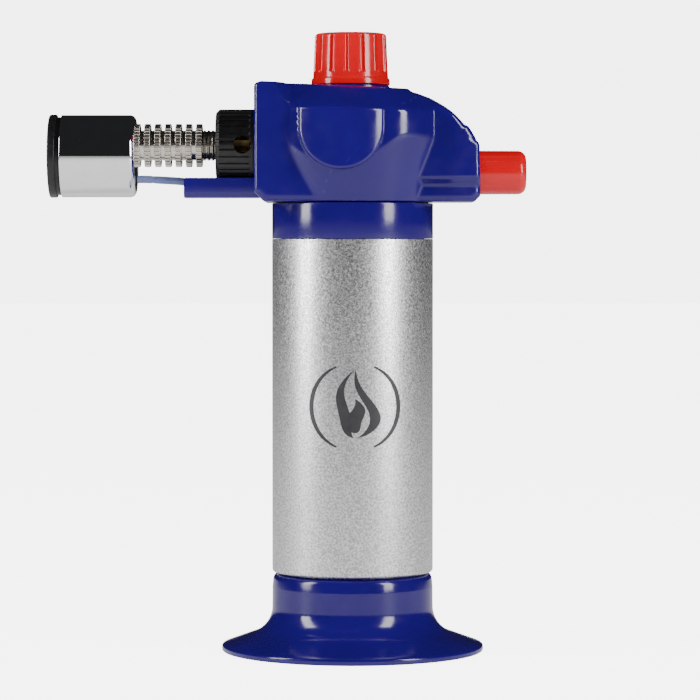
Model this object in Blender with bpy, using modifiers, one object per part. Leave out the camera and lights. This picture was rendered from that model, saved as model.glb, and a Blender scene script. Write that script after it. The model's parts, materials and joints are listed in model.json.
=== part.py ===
"""Butane torch: an upright gas tank on a flared stand, a moulded head, and a burner at right angles.

Everything is placed from the tank's axis (X = 0, Y = 0) with the stand's rim at Z = 0.
The burner points to -X and the ignition button to +X.  The empty `torch_frame` then moves
the whole torch along X, so that the origin is the middle of its bounding box at the bottom.
"""

import math

import bmesh
import bpy
from mathutils import Matrix, Vector

MM = 0.001

# ---- clearances and walls -------------------------------------------------------------------
GAP = 0.3 * MM                      # between pieces that touch
MERGE = 0.00001                     # merge distance of the turned shapes
PLASTIC_WALL = 2.0 * MM
TANK_WALL = 1.2 * MM

# ---- tank ------------------------------------------------------------------------------------
TANK_R = 25.0 * MM
TANK_BOTTOM = 24.5 * MM             # lower edge of the full-width sleeve
TANK_LENGTH = 103.3 * MM
TANK_TOP = TANK_BOTTOM + TANK_LENGTH
TANK_EDGE = 0.8 * MM
TANK_NECK_R = TANK_R - 3.0 * MM             # reduced ends that plug into the head and the stand
TANK_NECK_LENGTH = 8.2 * MM
TANK_FOOT_LENGTH = 7.5 * MM
LID_THICKNESS = 4.0 * MM

# ---- stand -----------------------------------------------------------------------------------
STAND_RIM_R = TANK_R + 15.7 * MM
STAND_RIM_THICKNESS = 1.9 * MM
STAND_SLOPE = math.radians(20.0)
STAND_SWEEP_R = 9.0 * MM            # hollow curve between the collar and the sloping skirt
STAND_FLOOR_HOLE_R = 11.0 * MM

# ---- fill valve ------------------------------------------------------------------------------
FILL_BODY_R = 4.2 * MM
FILL_BORE_R = 1.7 * MM
FILL_STEM_R = 1.3 * MM
FILL_CHAMBER_R = 3.3 * MM
FILL_CHAMBER_LENGTH = 10.0 * MM

# ---- flow valve ------------------------------------------------------------------------------
VALVE_X = -0.6 * MM                 # the knob's axis sits just in front of the tank's
VALVE_R = 5.0 * MM
VALVE_BORE_R = 1.5 * MM
VALVE_CHAMBER_R = 3.0 * MM
NEEDLE_R = 1.2 * MM
NEEDLE_PISTON_R = 2.6 * MM
SPINDLE_R = 2.6 * MM
SPINDLE_FLANGE_R = 3.7 * MM
NUT_R = 8.2 * MM                    # to the corners of the two hexagonal nuts

# ---- knob ------------------------------------------------------------------------------------
KNOB_HEIGHT = 16.3 * MM
KNOB_LIP_R = 12.2 * MM
KNOB_LOWER_R = 11.65 * MM
KNOB_UPPER_R = 11.05 * MM
KNOB_WALL = 1.6 * MM
KNOB_GROOVES = 15
KNOB_GROOVE_R = 0.8 * MM

# ---- head housing ----------------------------------------------------------------------------
RING_VISIBLE = 11.3 * MM            # band of the neck ring between the tank and the head
HEAD_HALF_WIDTH = 21.3 * MM
HEAD_BOTTOM = TANK_TOP + RING_VISIBLE + GAP
HEAD_FRONT = -30.0 * MM
HEAD_REAR = 39.2 * MM
BUTTON_R = 6.8 * MM
IGNITER_Z = HEAD_BOTTOM + PLASTIC_WALL + BUTTON_R + 0.4 * MM
DECK_FRONT_Z = IGNITER_Z + BUTTON_R + 20.6 * MM
DECK_REAR_Z = DECK_FRONT_Z - 2.2 * MM
HEAD_ROUND = 2.0 * MM
NECK_OPENING_R = 14.0 * MM
SKIRT_FLARE = 8.0 * MM              # the skirt flares from the tank's radius by this
SKIRT_TOP = HEAD_BOTTOM + 28.1 * MM
SKIRT_HALF_WIDTH = HEAD_HALF_WIDTH + 6.1 * MM
SKIRT_SHOULDER = 6.0 * MM
SKIRT_FRONT = -20.0 * MM
SKIRT_REAR = 21.0 * MM
SHELF_FRONT = -52.1 * MM
SHELF_BOTTOM = HEAD_BOTTOM + 1.3 * MM
SHELF_TOP = SHELF_BOTTOM + 6.2 * MM
SHELF_FLOOR = 1.4 * MM
SHELF_HALF_WIDTH = 7.5 * MM
KNOB_BOTTOM = DECK_FRONT_Z - 0.4 * MM
BOSS_R = 4.3 * MM
PILOT_R = 1.5 * MM
SCREW_HEAD_R = 2.7 * MM
SCREW_SHANK_R = 1.2 * MM
SCREW_SEAT_Y = HEAD_HALF_WIDTH - 4.3 * MM
SCREW_REACH = 6.0 * MM
SCREW_HEAD_HEIGHT = 1.7 * MM

# ---- burner ----------------------------------------------------------------------------------
BURNER_Z = HEAD_BOTTOM + 17.6 * MM
COLLAR_R = 11.2 * MM
COLLAR_LENGTH = 12.0 * MM
COLLAR_WALL = 2.0 * MM
COLLAR_RIBS = 30
AIR_HOLE_R = 2.8 * MM
AIR_HOLE_X = -33.9 * MM
MIXER_WALL = 1.5 * MM
JET_R = 2.2 * MM
GAS_TUBE_R = 1.6 * MM
GAS_TUBE_BORE_R = 0.8 * MM
THREAD_R = 4.85 * MM
THREAD_CORE_R = 4.3 * MM
THREAD_PITCH = 1.3 * MM
TUBE_R = 4.6 * MM
TUBE_BORE_R = 3.6 * MM
FIN_R = 6.7 * MM
FIN_WIDTH = 1.9 * MM
FIN_PITCH = 3.2 * MM
FIN_COUNT = 7
LAST_FIN_X = -47.5 * MM             # the fin nearest the collar

# ---- barrel ----------------------------------------------------------------------------------
BARREL_Z = BURNER_Z - 3.3 * MM       # below the burner's axis: the spark electrode fits beneath
BARREL_R = 12.75 * MM
BARREL_WALL = 0.8 * MM
BARREL_FRONT = -90.2 * MM
BARREL_REAR = -67.1 * MM
BARREL_EDGE = 1.6 * MM
RIM_FRONT = -93.9 * MM
RIM_R = 12.9 * MM
RIM_BAND_R = 12.1 * MM
RIM_BORE_R = 10.6 * MM
FLANGE_THICKNESS = 2.3 * MM
RIM_SLEEVE_LENGTH = 6.0 * MM
PLATE_X = -68.6 * MM
INSULATOR_Z = BARREL_Z - 7.2 * MM
INSULATOR_LENGTH = 9.0 * MM
ELECTRODE_R = 0.45 * MM
INSULATOR_R = 1.6 * MM

# ---- ignition --------------------------------------------------------------------------------
IGNITER_FRONT = 8.0 * MM
IGNITER_REAR = 30.0 * MM
IGNITER_R = 5.2 * MM
IGNITER_BORE_R = 3.9 * MM
IGNITER_BORE_DEPTH = 16.0 * MM
BUTTON_END = 54.0 * MM
BUTTON_WALL = 1.2 * MM
BUTTON_FLANGE_R = BUTTON_R + 1.0 * MM
BUTTON_FLANGE_SET_IN = 2.5 * MM     # behind the housing's rear wall
BUTTON_TRAVEL = 6.0 * MM
BUTTON_ROUND = 2.8 * MM
LEAD_R = 1.2 * MM

# ---- heights and screws that follow from the pieces above --------------------------------------
LID_BOTTOM = TANK_TOP + 2.2 * MM
SEAT_Z = BURNER_Z - 5.0 * MM        # of the needle, in the valve body
BODY_TOP = BURNER_Z + 6.0 * MM      # of the valve body
NUT_TOP = BODY_TOP + 6.0 * MM       # of the gland nut
TROUGH_Z = SHELF_BOTTOM + SHELF_FLOOR + LEAD_R + GAP
BUTTON_FLANGE_X = HEAD_REAR - PLASTIC_WALL - BUTTON_FLANGE_SET_IN
REAR_SCREW_X = BUTTON_FLANGE_X - BUTTON_TRAVEL - BOSS_R - GAP
SCREW_PLACES = ((-13.0 * MM, HEAD_BOTTOM + 27.1 * MM), (13.2 * MM, HEAD_BOTTOM + 26.9 * MM),
                (REAR_SCREW_X, HEAD_BOTTOM + 21.1 * MM))

# ---- colours: red, green, blue, roughness, metallic -------------------------------------------
BLUE_PLASTIC = ("blue_plastic", (0.01, 0.02, 0.30), 0.12, 0.0)
RED_PLASTIC = ("red_plastic", (0.72, 0.01, 0.01), 0.2, 0.0)
BLACK_PLASTIC = ("black_plastic", (0.012, 0.012, 0.013), 0.4, 0.0)
TANK_METAL = ("blasted_aluminium", (0.62, 0.62, 0.63), 0.42, 1.0)
NICKEL = ("nickel_plate", (0.62, 0.60, 0.56), 0.28, 1.0)
CHROME = ("chrome", (0.80, 0.80, 0.82), 0.05, 1.0)
STEEL = ("steel", (0.45, 0.45, 0.46), 0.35, 1.0)
BRASS = ("brass", (0.72, 0.52, 0.22), 0.3, 1.0)
RUBBER = ("black_rubber", (0.02, 0.02, 0.02), 0.75, 0.0)
CERAMIC = ("white_ceramic", (0.80, 0.79, 0.75), 0.35, 0.0)
GREY_SLEEVE = ("grey_sleeve", (0.42, 0.48, 0.62), 0.35, 0.0)
NYLON = ("natural_nylon", (0.62, 0.60, 0.55), 0.45, 0.0)

FINE = 36                           # sides of the large turned pieces
MEDIUM = 24
SMALL = 14

UP = Matrix.Identity(3)
SIDE_ON = Matrix.Rotation(math.radians(90.0), 3, "X")       # local XY becomes world XZ
FORWARD = Matrix.Rotation(math.radians(-90.0), 3, "Y")      # local +Z points to -X
REARWARD = Matrix.Rotation(math.radians(90.0), 3, "Y")      # local +Z points to +X


# ---- scene helpers ---------------------------------------------------------------------------
def clear_scene():
    for thing in list(bpy.data.objects):
        bpy.data.objects.remove(thing)


def make_collection(name):
    collection = bpy.data.collections.new(name)
    bpy.context.scene.collection.children.link(collection)
    return collection


def material(look):
    name, colour, roughness, metallic = look
    found = bpy.data.materials.get(name)
    if found:
        return found
    made = bpy.data.materials.new(name)
    made.use_nodes = True
    shader = made.node_tree.nodes["Principled BSDF"]
    shader.inputs["Base Color"].default_value = (*colour, 1.0)
    shader.inputs["Roughness"].default_value = roughness
    shader.inputs["Metallic"].default_value = metallic
    return made


def add_piece(name, mesh, look, place=(0.0, 0.0, 0.0), turn=UP):
    piece = bpy.data.objects.new(name, mesh)
    piece.location = place
    piece.rotation_euler = turn.to_euler()
    if look:
        mesh.materials.append(material(look))
    bpy.data.collections["butane_torch"].objects.link(piece)
    piece.parent = bpy.data.objects["torch_frame"]
    return piece


def as_cutter(piece):
    bpy.data.collections["butane_torch"].objects.unlink(piece)
    bpy.data.collections["cutters"].objects.link(piece)
    piece.hide_render = True
    piece.display_type = "WIRE"
    return piece


def combine(piece, other, operation):
    modifier = piece.modifiers.new(operation.lower(), "BOOLEAN")
    modifier.operation = operation
    modifier.object = other
    return piece


def cut(piece, *others):
    for other in others:
        combine(piece, other, "DIFFERENCE")
    return piece


# ---- shape helpers ---------------------------------------------------------------------------
def turned(name, profile, look, place=(0.0, 0.0, 0.0), turn=UP, steps=MEDIUM):
    """Turn a profile of (radius, height) about local Z, from the top down its outer side.

    A profile that starts and ends on the axis is solid; any other is closed into a ring.
    """
    count = len(profile)
    edges = [(i, i + 1) for i in range(count - 1)]
    if profile[0][0] > 0.0:
        edges.append((count - 1, 0))
    mesh = bpy.data.meshes.new(name)
    mesh.from_pydata([(radius, 0.0, height) for radius, height in profile], edges, [])
    piece = add_piece(name, mesh, look, place, turn)
    screw = piece.modifiers.new("turn", "SCREW")
    screw.axis = "Z"
    screw.steps = steps
    screw.render_steps = steps
    screw.use_merge_vertices = True
    screw.merge_threshold = MERGE
    screw.use_smooth_shade = steps > 6
    return piece


def ring_profile(outer, inner, bottom, top):
    return [(outer, top), (outer, bottom), (inner, bottom), (inner, top)]


def rod_profile(radius, bottom, top):
    return [(0.0, top), (radius, top), (radius, bottom), (0.0, bottom)]


def arc(centre, radius, start, end, steps):
    """Points on an arc in a profile's plane, with angles in degrees."""
    span = [math.radians(start + (end - start) * i / steps) for i in range(steps + 1)]
    return [(centre[0] + radius * math.cos(a), centre[1] + radius * math.sin(a)) for a in span]


def seal_section(ring_r, height, radius):
    """Six-sided section of a sealing ring."""
    return arc((ring_r, height), radius, 90.0, -210.0, 5)


def block(name, low, high, look):
    """A box between two opposite corners."""
    low = Vector(low)
    high = Vector(high)
    size = high - low
    shape = bmesh.new()
    bmesh.ops.create_cube(shape, size=1.0, matrix=Matrix.Diagonal((*size, 1.0)))
    mesh = bpy.data.meshes.new(name)
    shape.to_mesh(mesh)
    shape.free()
    return add_piece(name, mesh, look, (low + high) / 2.0)


def mesh_from_curve(piece, scale):
    """Replace a curve object by its closed mesh, scaled, in the same place."""
    graph = bpy.context.evaluated_depsgraph_get()
    mesh = bpy.data.meshes.new_from_object(piece.evaluated_get(graph))
    shape = bmesh.new()
    shape.from_mesh(mesh)
    bmesh.ops.scale(shape, vec=(scale, scale, scale), verts=shape.verts)
    bmesh.ops.remove_doubles(shape, verts=shape.verts, dist=MERGE)
    bmesh.ops.recalc_face_normals(shape, faces=shape.faces)
    if shape.calc_volume(signed=True) < 0.0:
        bmesh.ops.reverse_faces(shape, faces=shape.faces)
    shape.to_mesh(mesh)
    shape.free()
    name = piece.name
    place = piece.location.copy()
    turn = piece.rotation_euler.to_matrix()
    bpy.data.objects.remove(piece)
    made = add_piece(name, mesh, None, place, turn)
    made.name = name
    return made


def round_edges(piece, width):
    """Round only the sharp edges, those that turn by more than sixty degrees."""
    edges = piece.modifiers.new("rounded", "BEVEL")
    edges.width = width
    edges.segments = 2
    edges.limit_method = "ANGLE"
    edges.angle_limit = math.radians(60.0)
    return piece


def plate(name, outline, thickness, look, place=(0.0, 0.0, 0.0), turn=UP):
    """A flat outline in local XY, thickened evenly about that plane; the curve is in millimetres."""
    curve = bpy.data.curves.new(name, "CURVE")
    curve.dimensions = "2D"
    curve.fill_mode = "BOTH"
    curve.extrude = thickness / 2.0 / MM
    spline = curve.splines.new("POLY")
    spline.points.add(len(outline) - 1)
    for point, (x, y) in zip(spline.points, outline):
        point.co = (x / MM, y / MM, 0.0, 1.0)
    spline.use_cyclic_u = True
    return mesh_from_curve(add_piece(name, curve, look, place, turn), MM)


def wire(name, points, radius, look, place=(0.0, 0.0, 0.0), turn=UP):
    """A round wire with closed ends through a list of points."""
    curve = bpy.data.curves.new(name, "CURVE")
    curve.dimensions = "3D"
    curve.bevel_depth = radius
    curve.bevel_resolution = 2 if radius > 0.5 * MM else 1
    curve.use_fill_caps = True
    spline = curve.splines.new("POLY")
    spline.points.add(len(points) - 1)
    for point, place_on_wire in zip(spline.points, points):
        point.co = (*place_on_wire, 1.0)
    return add_piece(name, curve, look, place, turn)


def smooth_route(points, steps):
    """Catmull-Rom curve through the route's points."""
    knots = [Vector(p) for p in points]
    knots = [2 * knots[0] - knots[1], *knots, 2 * knots[-1] - knots[-2]]
    route = []
    for a, b, c, d in zip(knots, knots[1:], knots[2:], knots[3:]):
        for i in range(steps):
            t = i / steps
            route.append(0.5 * (2 * b + (c - a) * t + (2 * a - 5 * b + 4 * c - d) * t ** 2
                                + (3 * b - a - 3 * c + d) * t ** 3))
    route.append(knots[-2])
    return route


def coil(radius, bottom, top, turns, points_per_turn=8):
    count = int(turns * points_per_turn)
    made = []
    for i in range(count + 1):
        angle = math.tau * turns * i / count
        height = bottom + (top - bottom) * i / count
        made.append((radius * math.cos(angle), radius * math.sin(angle), height))
    return made


def inset(outline, distance):
    """Move each side of a clockwise outline inwards by a distance, with mitred corners.

    A side that shrinks to less than the clearance is left out.
    """
    made = []
    count = len(outline)
    for i in range(count):
        before = Vector(outline[i - 1])
        here = Vector(outline[i])
        after = Vector(outline[(i + 1) % count])
        side_in = (here - before).normalized()
        side_out = (after - here).normalized()
        normal_in = Vector((side_in.y, -side_in.x))
        normal_out = Vector((side_out.y, -side_out.x))
        middle = (normal_in + normal_out).normalized()
        moved = here + middle * (distance / middle.dot(normal_in))
        if not made or (moved - made[-1]).length > GAP:
            made.append(moved)
    return made


def groove_cutter(name, count, ring_r, groove_r, low, high, place, turn):
    """Round bars standing in a circle, joined in one mesh, for cutting grooves all round."""
    shape = bmesh.new()
    for i in range(count):
        angle = math.tau * i / count
        spot = Matrix.Translation((ring_r * math.cos(angle), ring_r * math.sin(angle), (low + high) / 2.0))
        bmesh.ops.create_cone(shape, cap_ends=True, segments=8, radius1=groove_r, radius2=groove_r,
                              depth=high - low, matrix=spot @ Matrix.Rotation(angle, 4, "Z"))
    mesh = bpy.data.meshes.new(name)
    shape.to_mesh(mesh)
    shape.free()
    return as_cutter(add_piece(name, mesh, None, place, turn))


def bore(name, radius, start, end, steps=SMALL):
    """A round cutter between two points."""
    start = Vector(start)
    end = Vector(end)
    turn = (end - start).to_track_quat("Z", "Y").to_matrix()
    profile = rod_profile(radius, 0.0, (end - start).length)
    return as_cutter(turned(name, profile, None, start, turn, steps))


# ---- tank ------------------------------------------------------------------------------------
def tank_shell():
    inner_r = TANK_R - TANK_WALL - TANK_EDGE
    neck_bore = TANK_NECK_R - TANK_WALL
    neck_top = TANK_TOP + TANK_NECK_LENGTH
    foot = TANK_BOTTOM - TANK_FOOT_LENGTH
    hole = FILL_BODY_R + GAP
    shoulder = TANK_TOP - TANK_WALL
    ledge = TANK_BOTTOM + TANK_WALL
    outside = [(TANK_NECK_R, neck_top), (TANK_NECK_R, TANK_TOP), (TANK_R - TANK_EDGE, TANK_TOP),
               (TANK_R, TANK_TOP - TANK_EDGE), (TANK_R, TANK_BOTTOM + TANK_EDGE),
               (TANK_R - TANK_EDGE, TANK_BOTTOM), (TANK_NECK_R, TANK_BOTTOM), (TANK_NECK_R, foot)]
    inside = [(hole, foot), (hole, foot + TANK_WALL), (neck_bore, foot + TANK_WALL),
              (neck_bore, ledge), (inner_r, ledge), (inner_r, shoulder),
              (neck_bore, shoulder), (neck_bore, neck_top)]
    turned("tank_shell", outside + inside, TANK_METAL, steps=FINE)


def tank_lid():
    """Lid in the tank's neck, with a groove for its seal and an off-centre hole for the valve."""
    radius = TANK_NECK_R - TANK_WALL - GAP
    bottom = LID_BOTTOM
    top = bottom + LID_THICKNESS
    middle = (bottom + top) / 2.0
    groove = 0.8 * MM
    groove_depth = 1.3 * MM
    floor_r = radius - groove_depth
    profile = [(0.0, top), (radius, top), (radius, middle + groove), (floor_r, middle + groove),
               (floor_r, middle - groove), (radius, middle - groove), (radius, bottom), (0.0, bottom)]
    lid = turned("tank_lid", profile, NYLON, steps=FINE)
    hole = bore("lid_hole", VALVE_R + GAP, (VALVE_X, 0.0, bottom - GAP), (VALVE_X, 0.0, top + GAP), MEDIUM)
    cut(lid, hole)
    seal_r = (groove_depth - GAP) / 2.0
    turned("lid_seal", seal_section(radius - seal_r, middle, seal_r), RUBBER, steps=MEDIUM)


def base_stand():
    """Hollow flared stand: collar, hollow sweep, sloping skirt, and a floor the tank rests on."""
    top = TANK_BOTTOM - GAP
    edge = TANK_EDGE
    drop = (STAND_RIM_R - TANK_R - STAND_SWEEP_R * (1.0 - math.sin(STAND_SLOPE))) * math.tan(STAND_SLOPE)
    sweep_z = STAND_RIM_THICKNESS + drop + STAND_SWEEP_R * math.cos(STAND_SLOPE)
    centre = (TANK_R + STAND_SWEEP_R, sweep_z)
    end = 270.0 - math.degrees(STAND_SLOPE)
    floor_bottom = sweep_z + 0.8 * MM
    floor_top = TANK_BOTTOM - TANK_FOOT_LENGTH - GAP
    socket = TANK_NECK_R + GAP
    foot_inner = STAND_RIM_R - 2.1 * MM
    foot_outer = STAND_RIM_R - 0.5 * MM
    outside = [(TANK_R - edge, top), (TANK_R - 0.2 * MM, top - edge / 2.0)]
    outside += arc(centre, STAND_SWEEP_R, 180.0, end, 6)
    outside += [(STAND_RIM_R - 0.2 * MM, STAND_RIM_THICKNESS + 0.1 * MM),
                (STAND_RIM_R, STAND_RIM_THICKNESS / 2.0), (foot_outer, 0.0), (foot_inner, 0.0)]
    inside = list(reversed(arc(centre, STAND_SWEEP_R + PLASTIC_WALL, 180.0, end, 5)))
    inside += [(TANK_R - PLASTIC_WALL, floor_bottom), (STAND_FLOOR_HOLE_R, floor_bottom),
               (STAND_FLOOR_HOLE_R, floor_top), (socket, floor_top), (socket, top)]
    turned("base_stand", outside + inside, BLUE_PLASTIC, steps=FINE)


# ---- fill valve ------------------------------------------------------------------------------
def fill_valve():
    plate_bottom = TANK_BOTTOM - TANK_FOOT_LENGTH
    flange = plate_bottom + TANK_WALL + GAP
    seat = flange + 2.6 * MM
    roof = seat + FILL_CHAMBER_LENGTH
    outlet = plate_bottom - 3.5 * MM
    vent = 1.0 * MM
    outer = FILL_CHAMBER_R + 1.4 * MM
    turned("fill_valve_body",
           [(vent, roof + vent), (outer, roof + vent), (outer, flange + 2 * MM), (outer + 1.5 * MM, flange + 2 * MM),
            (outer + 1.5 * MM, flange), (FILL_BODY_R, flange), (FILL_BODY_R, outlet), (FILL_BORE_R, outlet),
            (FILL_BORE_R, seat), (FILL_CHAMBER_R, seat), (FILL_CHAMBER_R, roof), (vent, roof)],
           BRASS, steps=SMALL)
    seal_bottom = seat + GAP
    seal_top = seal_bottom + 1.0 * MM
    head_r = FILL_CHAMBER_R - 2 * GAP
    turned("fill_valve_seal", ring_profile(head_r, FILL_STEM_R + GAP, seal_bottom, seal_top), RUBBER,
           steps=SMALL)
    head_bottom = seal_top + GAP
    head_top = head_bottom + 1.5 * MM
    origin = Vector((0.0, 0.0, head_bottom))
    turned("fill_valve_stem",
           [(0.0, head_top - origin.z), (head_r, head_top - origin.z), (head_r, 0.0), (FILL_STEM_R, 0.0),
            (FILL_STEM_R, outlet + 0.5 * MM - origin.z), (0.0, outlet + 0.5 * MM - origin.z)],
           BRASS, origin, steps=SMALL)
    wire_r = 0.3 * MM
    start = head_top + GAP + wire_r
    end = roof - GAP - wire_r
    wire("fill_valve_spring", coil(head_r - wire_r, start, end, 4), wire_r, STEEL)


# ---- flow valve ------------------------------------------------------------------------------
def valve_body():
    stub_bottom = LID_BOTTOM - 12.0 * MM
    flange_top = LID_BOTTOM - GAP
    flange_bottom = flange_top - 2.0 * MM
    stub_r = 3.4 * MM
    body = turned("valve_body",
                  [(VALVE_CHAMBER_R, BODY_TOP), (VALVE_R, BODY_TOP), (VALVE_R, flange_top),
                   (VALVE_R + 2.0 * MM, flange_top), (VALVE_R + 2.0 * MM, flange_bottom),
                   (stub_r, flange_bottom), (stub_r, stub_bottom), (VALVE_BORE_R, stub_bottom),
                   (VALVE_BORE_R, SEAT_Z), (VALVE_CHAMBER_R, SEAT_Z)],
                  BRASS, (VALVE_X, 0.0, 0.0), steps=SMALL)
    port = bore("gas_port", GAS_TUBE_R + GAP, (VALVE_X, 0.0, BURNER_Z), (VALVE_X - 2 * VALVE_R, 0.0, BURNER_Z))
    cut(body, port)
    filter_top = stub_bottom - GAP
    turned("inlet_filter", rod_profile(stub_r, filter_top - 4.0 * MM, filter_top), CERAMIC,
           (VALVE_X, 0.0, 0.0), steps=SMALL)
    nut_bottom = LID_BOTTOM + LID_THICKNESS + GAP
    nut = turned("lid_nut", rod_profile(NUT_R, nut_bottom, nut_bottom + 3.5 * MM), STEEL,
                 (VALVE_X, 0.0, 0.0), steps=6)
    cut(nut, bore("lid_nut_bore", VALVE_R + GAP, (VALVE_X, 0.0, nut_bottom - MM),
                  (VALVE_X, 0.0, nut_bottom + 5 * MM)))


def valve_needle():
    piston_top = BODY_TOP - 2.0 * MM
    piston_bottom = piston_top - 2.2 * MM
    tip = SEAT_Z - 1.0 * MM
    base = (VALVE_X, 0.0, BURNER_Z)
    stem_top = NUT_TOP - GAP
    profile = [(0.0, stem_top), (NEEDLE_R, stem_top), (NEEDLE_R, piston_top), (NEEDLE_PISTON_R, piston_top),
               (NEEDLE_PISTON_R, piston_bottom), (NEEDLE_R, piston_bottom), (NEEDLE_R, SEAT_Z + MM),
               (NEEDLE_R / 2.0, tip), (0.0, tip)]
    turned("valve_needle", [(r, z - BURNER_Z) for r, z in profile], STEEL, base, steps=SMALL)
    seal_r = (VALVE_CHAMBER_R - NEEDLE_R - 2 * GAP) / 2.0
    seal_z = piston_bottom - GAP - seal_r - BURNER_Z
    turned("needle_seal", seal_section(NEEDLE_R + GAP + seal_r, seal_z, seal_r), RUBBER, base, steps=SMALL)


def gland_nut():
    """Hexagonal nut over the valve body, recessed for the spindle's flange."""
    bottom = BURNER_Z + 3.0 * MM
    recess = SPINDLE_FLANGE_R + GAP
    ceiling = BODY_TOP + 3.2 * MM
    place = (VALVE_X, 0.0, 0.0)
    nut = turned("gland_nut", rod_profile(NUT_R, bottom, NUT_TOP), BRASS, place, steps=6)
    hollow = turned("gland_hollow",
                    [(0.0, NUT_TOP + MM), (SPINDLE_R + GAP, NUT_TOP + MM), (SPINDLE_R + GAP, ceiling),
                     (recess, ceiling), (recess, BODY_TOP + GAP), (VALVE_R + GAP, BODY_TOP + GAP),
                     (VALVE_R + GAP, bottom - MM), (0.0, bottom - MM)], None, place, steps=SMALL)
    cut(nut, as_cutter(hollow))


def knob_spindle():
    bottom = BODY_TOP + 2 * GAP
    flange_top = BODY_TOP + 2.9 * MM
    top = KNOB_BOTTOM + KNOB_HEIGHT - KNOB_WALL - 1.8 * MM
    hollow_top = NUT_TOP + 2.0 * MM
    hollow_r = NEEDLE_R + GAP
    profile = [(0.0, top), (SPINDLE_R, top), (SPINDLE_R, flange_top), (SPINDLE_FLANGE_R, flange_top),
               (SPINDLE_FLANGE_R, bottom), (hollow_r, bottom), (hollow_r, hollow_top), (0.0, hollow_top)]
    turned("knob_spindle", [(r, z - KNOB_BOTTOM) for r, z in profile], STEEL,
           (VALVE_X, 0.0, KNOB_BOTTOM), steps=SMALL)


def flow_knob():
    """Cap with a small lip, fifteen round grooves and a hub that grips the spindle."""
    lip = 1.6 * MM
    shoulder = 1.1 * MM
    roof = KNOB_HEIGHT - KNOB_WALL
    hub_r = SPINDLE_R + GAP + 1.7 * MM
    place = (VALVE_X, 0.0, KNOB_BOTTOM)
    profile = [(0.0, KNOB_HEIGHT), (KNOB_UPPER_R - shoulder, KNOB_HEIGHT - 0.2 * MM),
               (KNOB_UPPER_R, KNOB_HEIGHT - shoulder - 0.2 * MM), (KNOB_LOWER_R, lip + 0.6 * MM),
               (KNOB_LIP_R, lip), (KNOB_LIP_R, 0.0), (KNOB_LIP_R - KNOB_WALL, 0.0),
               (KNOB_UPPER_R - KNOB_WALL, roof - 0.6 * MM), (hub_r, roof - 0.6 * MM), (hub_r, MM),
               (SPINDLE_R + GAP, MM), (SPINDLE_R + GAP, roof - 1.5 * MM), (0.0, roof - 1.5 * MM)]
    knob = turned("flow_knob", profile, RED_PLASTIC, place, steps=FINE)
    bars = groove_cutter("knob_grooves", KNOB_GROOVES, KNOB_LOWER_R + KNOB_GROOVE_R - 0.45 * MM,
                         KNOB_GROOVE_R, 3.6 * MM, KNOB_HEIGHT + MM, place, UP)
    cut(knob, bars)


# ---- head housing ----------------------------------------------------------------------------
def head_outline():
    """Side outline of the head, clockwise seen along +Y with +X to the right and +Z up."""
    drops = ((20.7, 0.0), (16.8, 0.7), (9.6, 4.3), (5.7, 7.9), (2.8, 11.4), (1.0, 15.2))
    back = [(HEAD_REAR - inward * MM, DECK_REAR_Z - down * MM) for inward, down in drops]
    return [(HEAD_FRONT, HEAD_BOTTOM + 3.0 * MM), (HEAD_FRONT, DECK_FRONT_Z - 1.2 * MM),
            (HEAD_FRONT + 1.2 * MM, DECK_FRONT_Z), *back, (HEAD_REAR, DECK_REAR_Z - 18.8 * MM),
            (HEAD_REAR, HEAD_BOTTOM + 2.2 * MM), (HEAD_REAR - 1.8 * MM, HEAD_BOTTOM),
            (HEAD_FRONT + 3.0 * MM, HEAD_BOTTOM)]


def head_body():
    """The head's outer form: extruded side outline, flared skirt over the neck, and the lead shelf."""
    form = plate("head_form", head_outline(), 2 * HEAD_HALF_WIDTH, None, turn=SIDE_ON)
    round_edges(form, HEAD_ROUND)
    shoulder = SKIRT_SHOULDER
    cone = turned("skirt_cone", [(0.0, SKIRT_TOP), (TANK_R + SKIRT_FLARE, SKIRT_TOP), (TANK_R, HEAD_BOTTOM),
                                 (0.0, HEAD_BOTTOM)], None, steps=FINE)
    section = [(-SKIRT_HALF_WIDTH, HEAD_BOTTOM - MM), (-SKIRT_HALF_WIDTH, SKIRT_TOP - shoulder),
               (-SKIRT_HALF_WIDTH + shoulder, SKIRT_TOP + MM), (SKIRT_HALF_WIDTH - shoulder, SKIRT_TOP + MM),
               (SKIRT_HALF_WIDTH, SKIRT_TOP - shoulder), (SKIRT_HALF_WIDTH, HEAD_BOTTOM - MM)]
    end_on = Matrix.Rotation(math.radians(90.0), 3, "Z") @ SIDE_ON
    limits = plate("skirt_limits", section, SKIRT_REAR - SKIRT_FRONT, None,
                   ((SKIRT_FRONT + SKIRT_REAR) / 2.0, 0.0, 0.0), end_on)
    combine(cone, as_cutter(limits), "INTERSECT")
    shelf = block("shelf_form", (SHELF_FRONT, -SHELF_HALF_WIDTH, SHELF_BOTTOM),
                  (HEAD_FRONT + MM, SHELF_HALF_WIDTH, SHELF_TOP), None)
    round_edges(shelf, 1.2 * MM)
    combine(form, as_cutter(cone), "UNION")
    combine(form, as_cutter(shelf), "UNION")
    return as_cutter(form)


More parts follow.
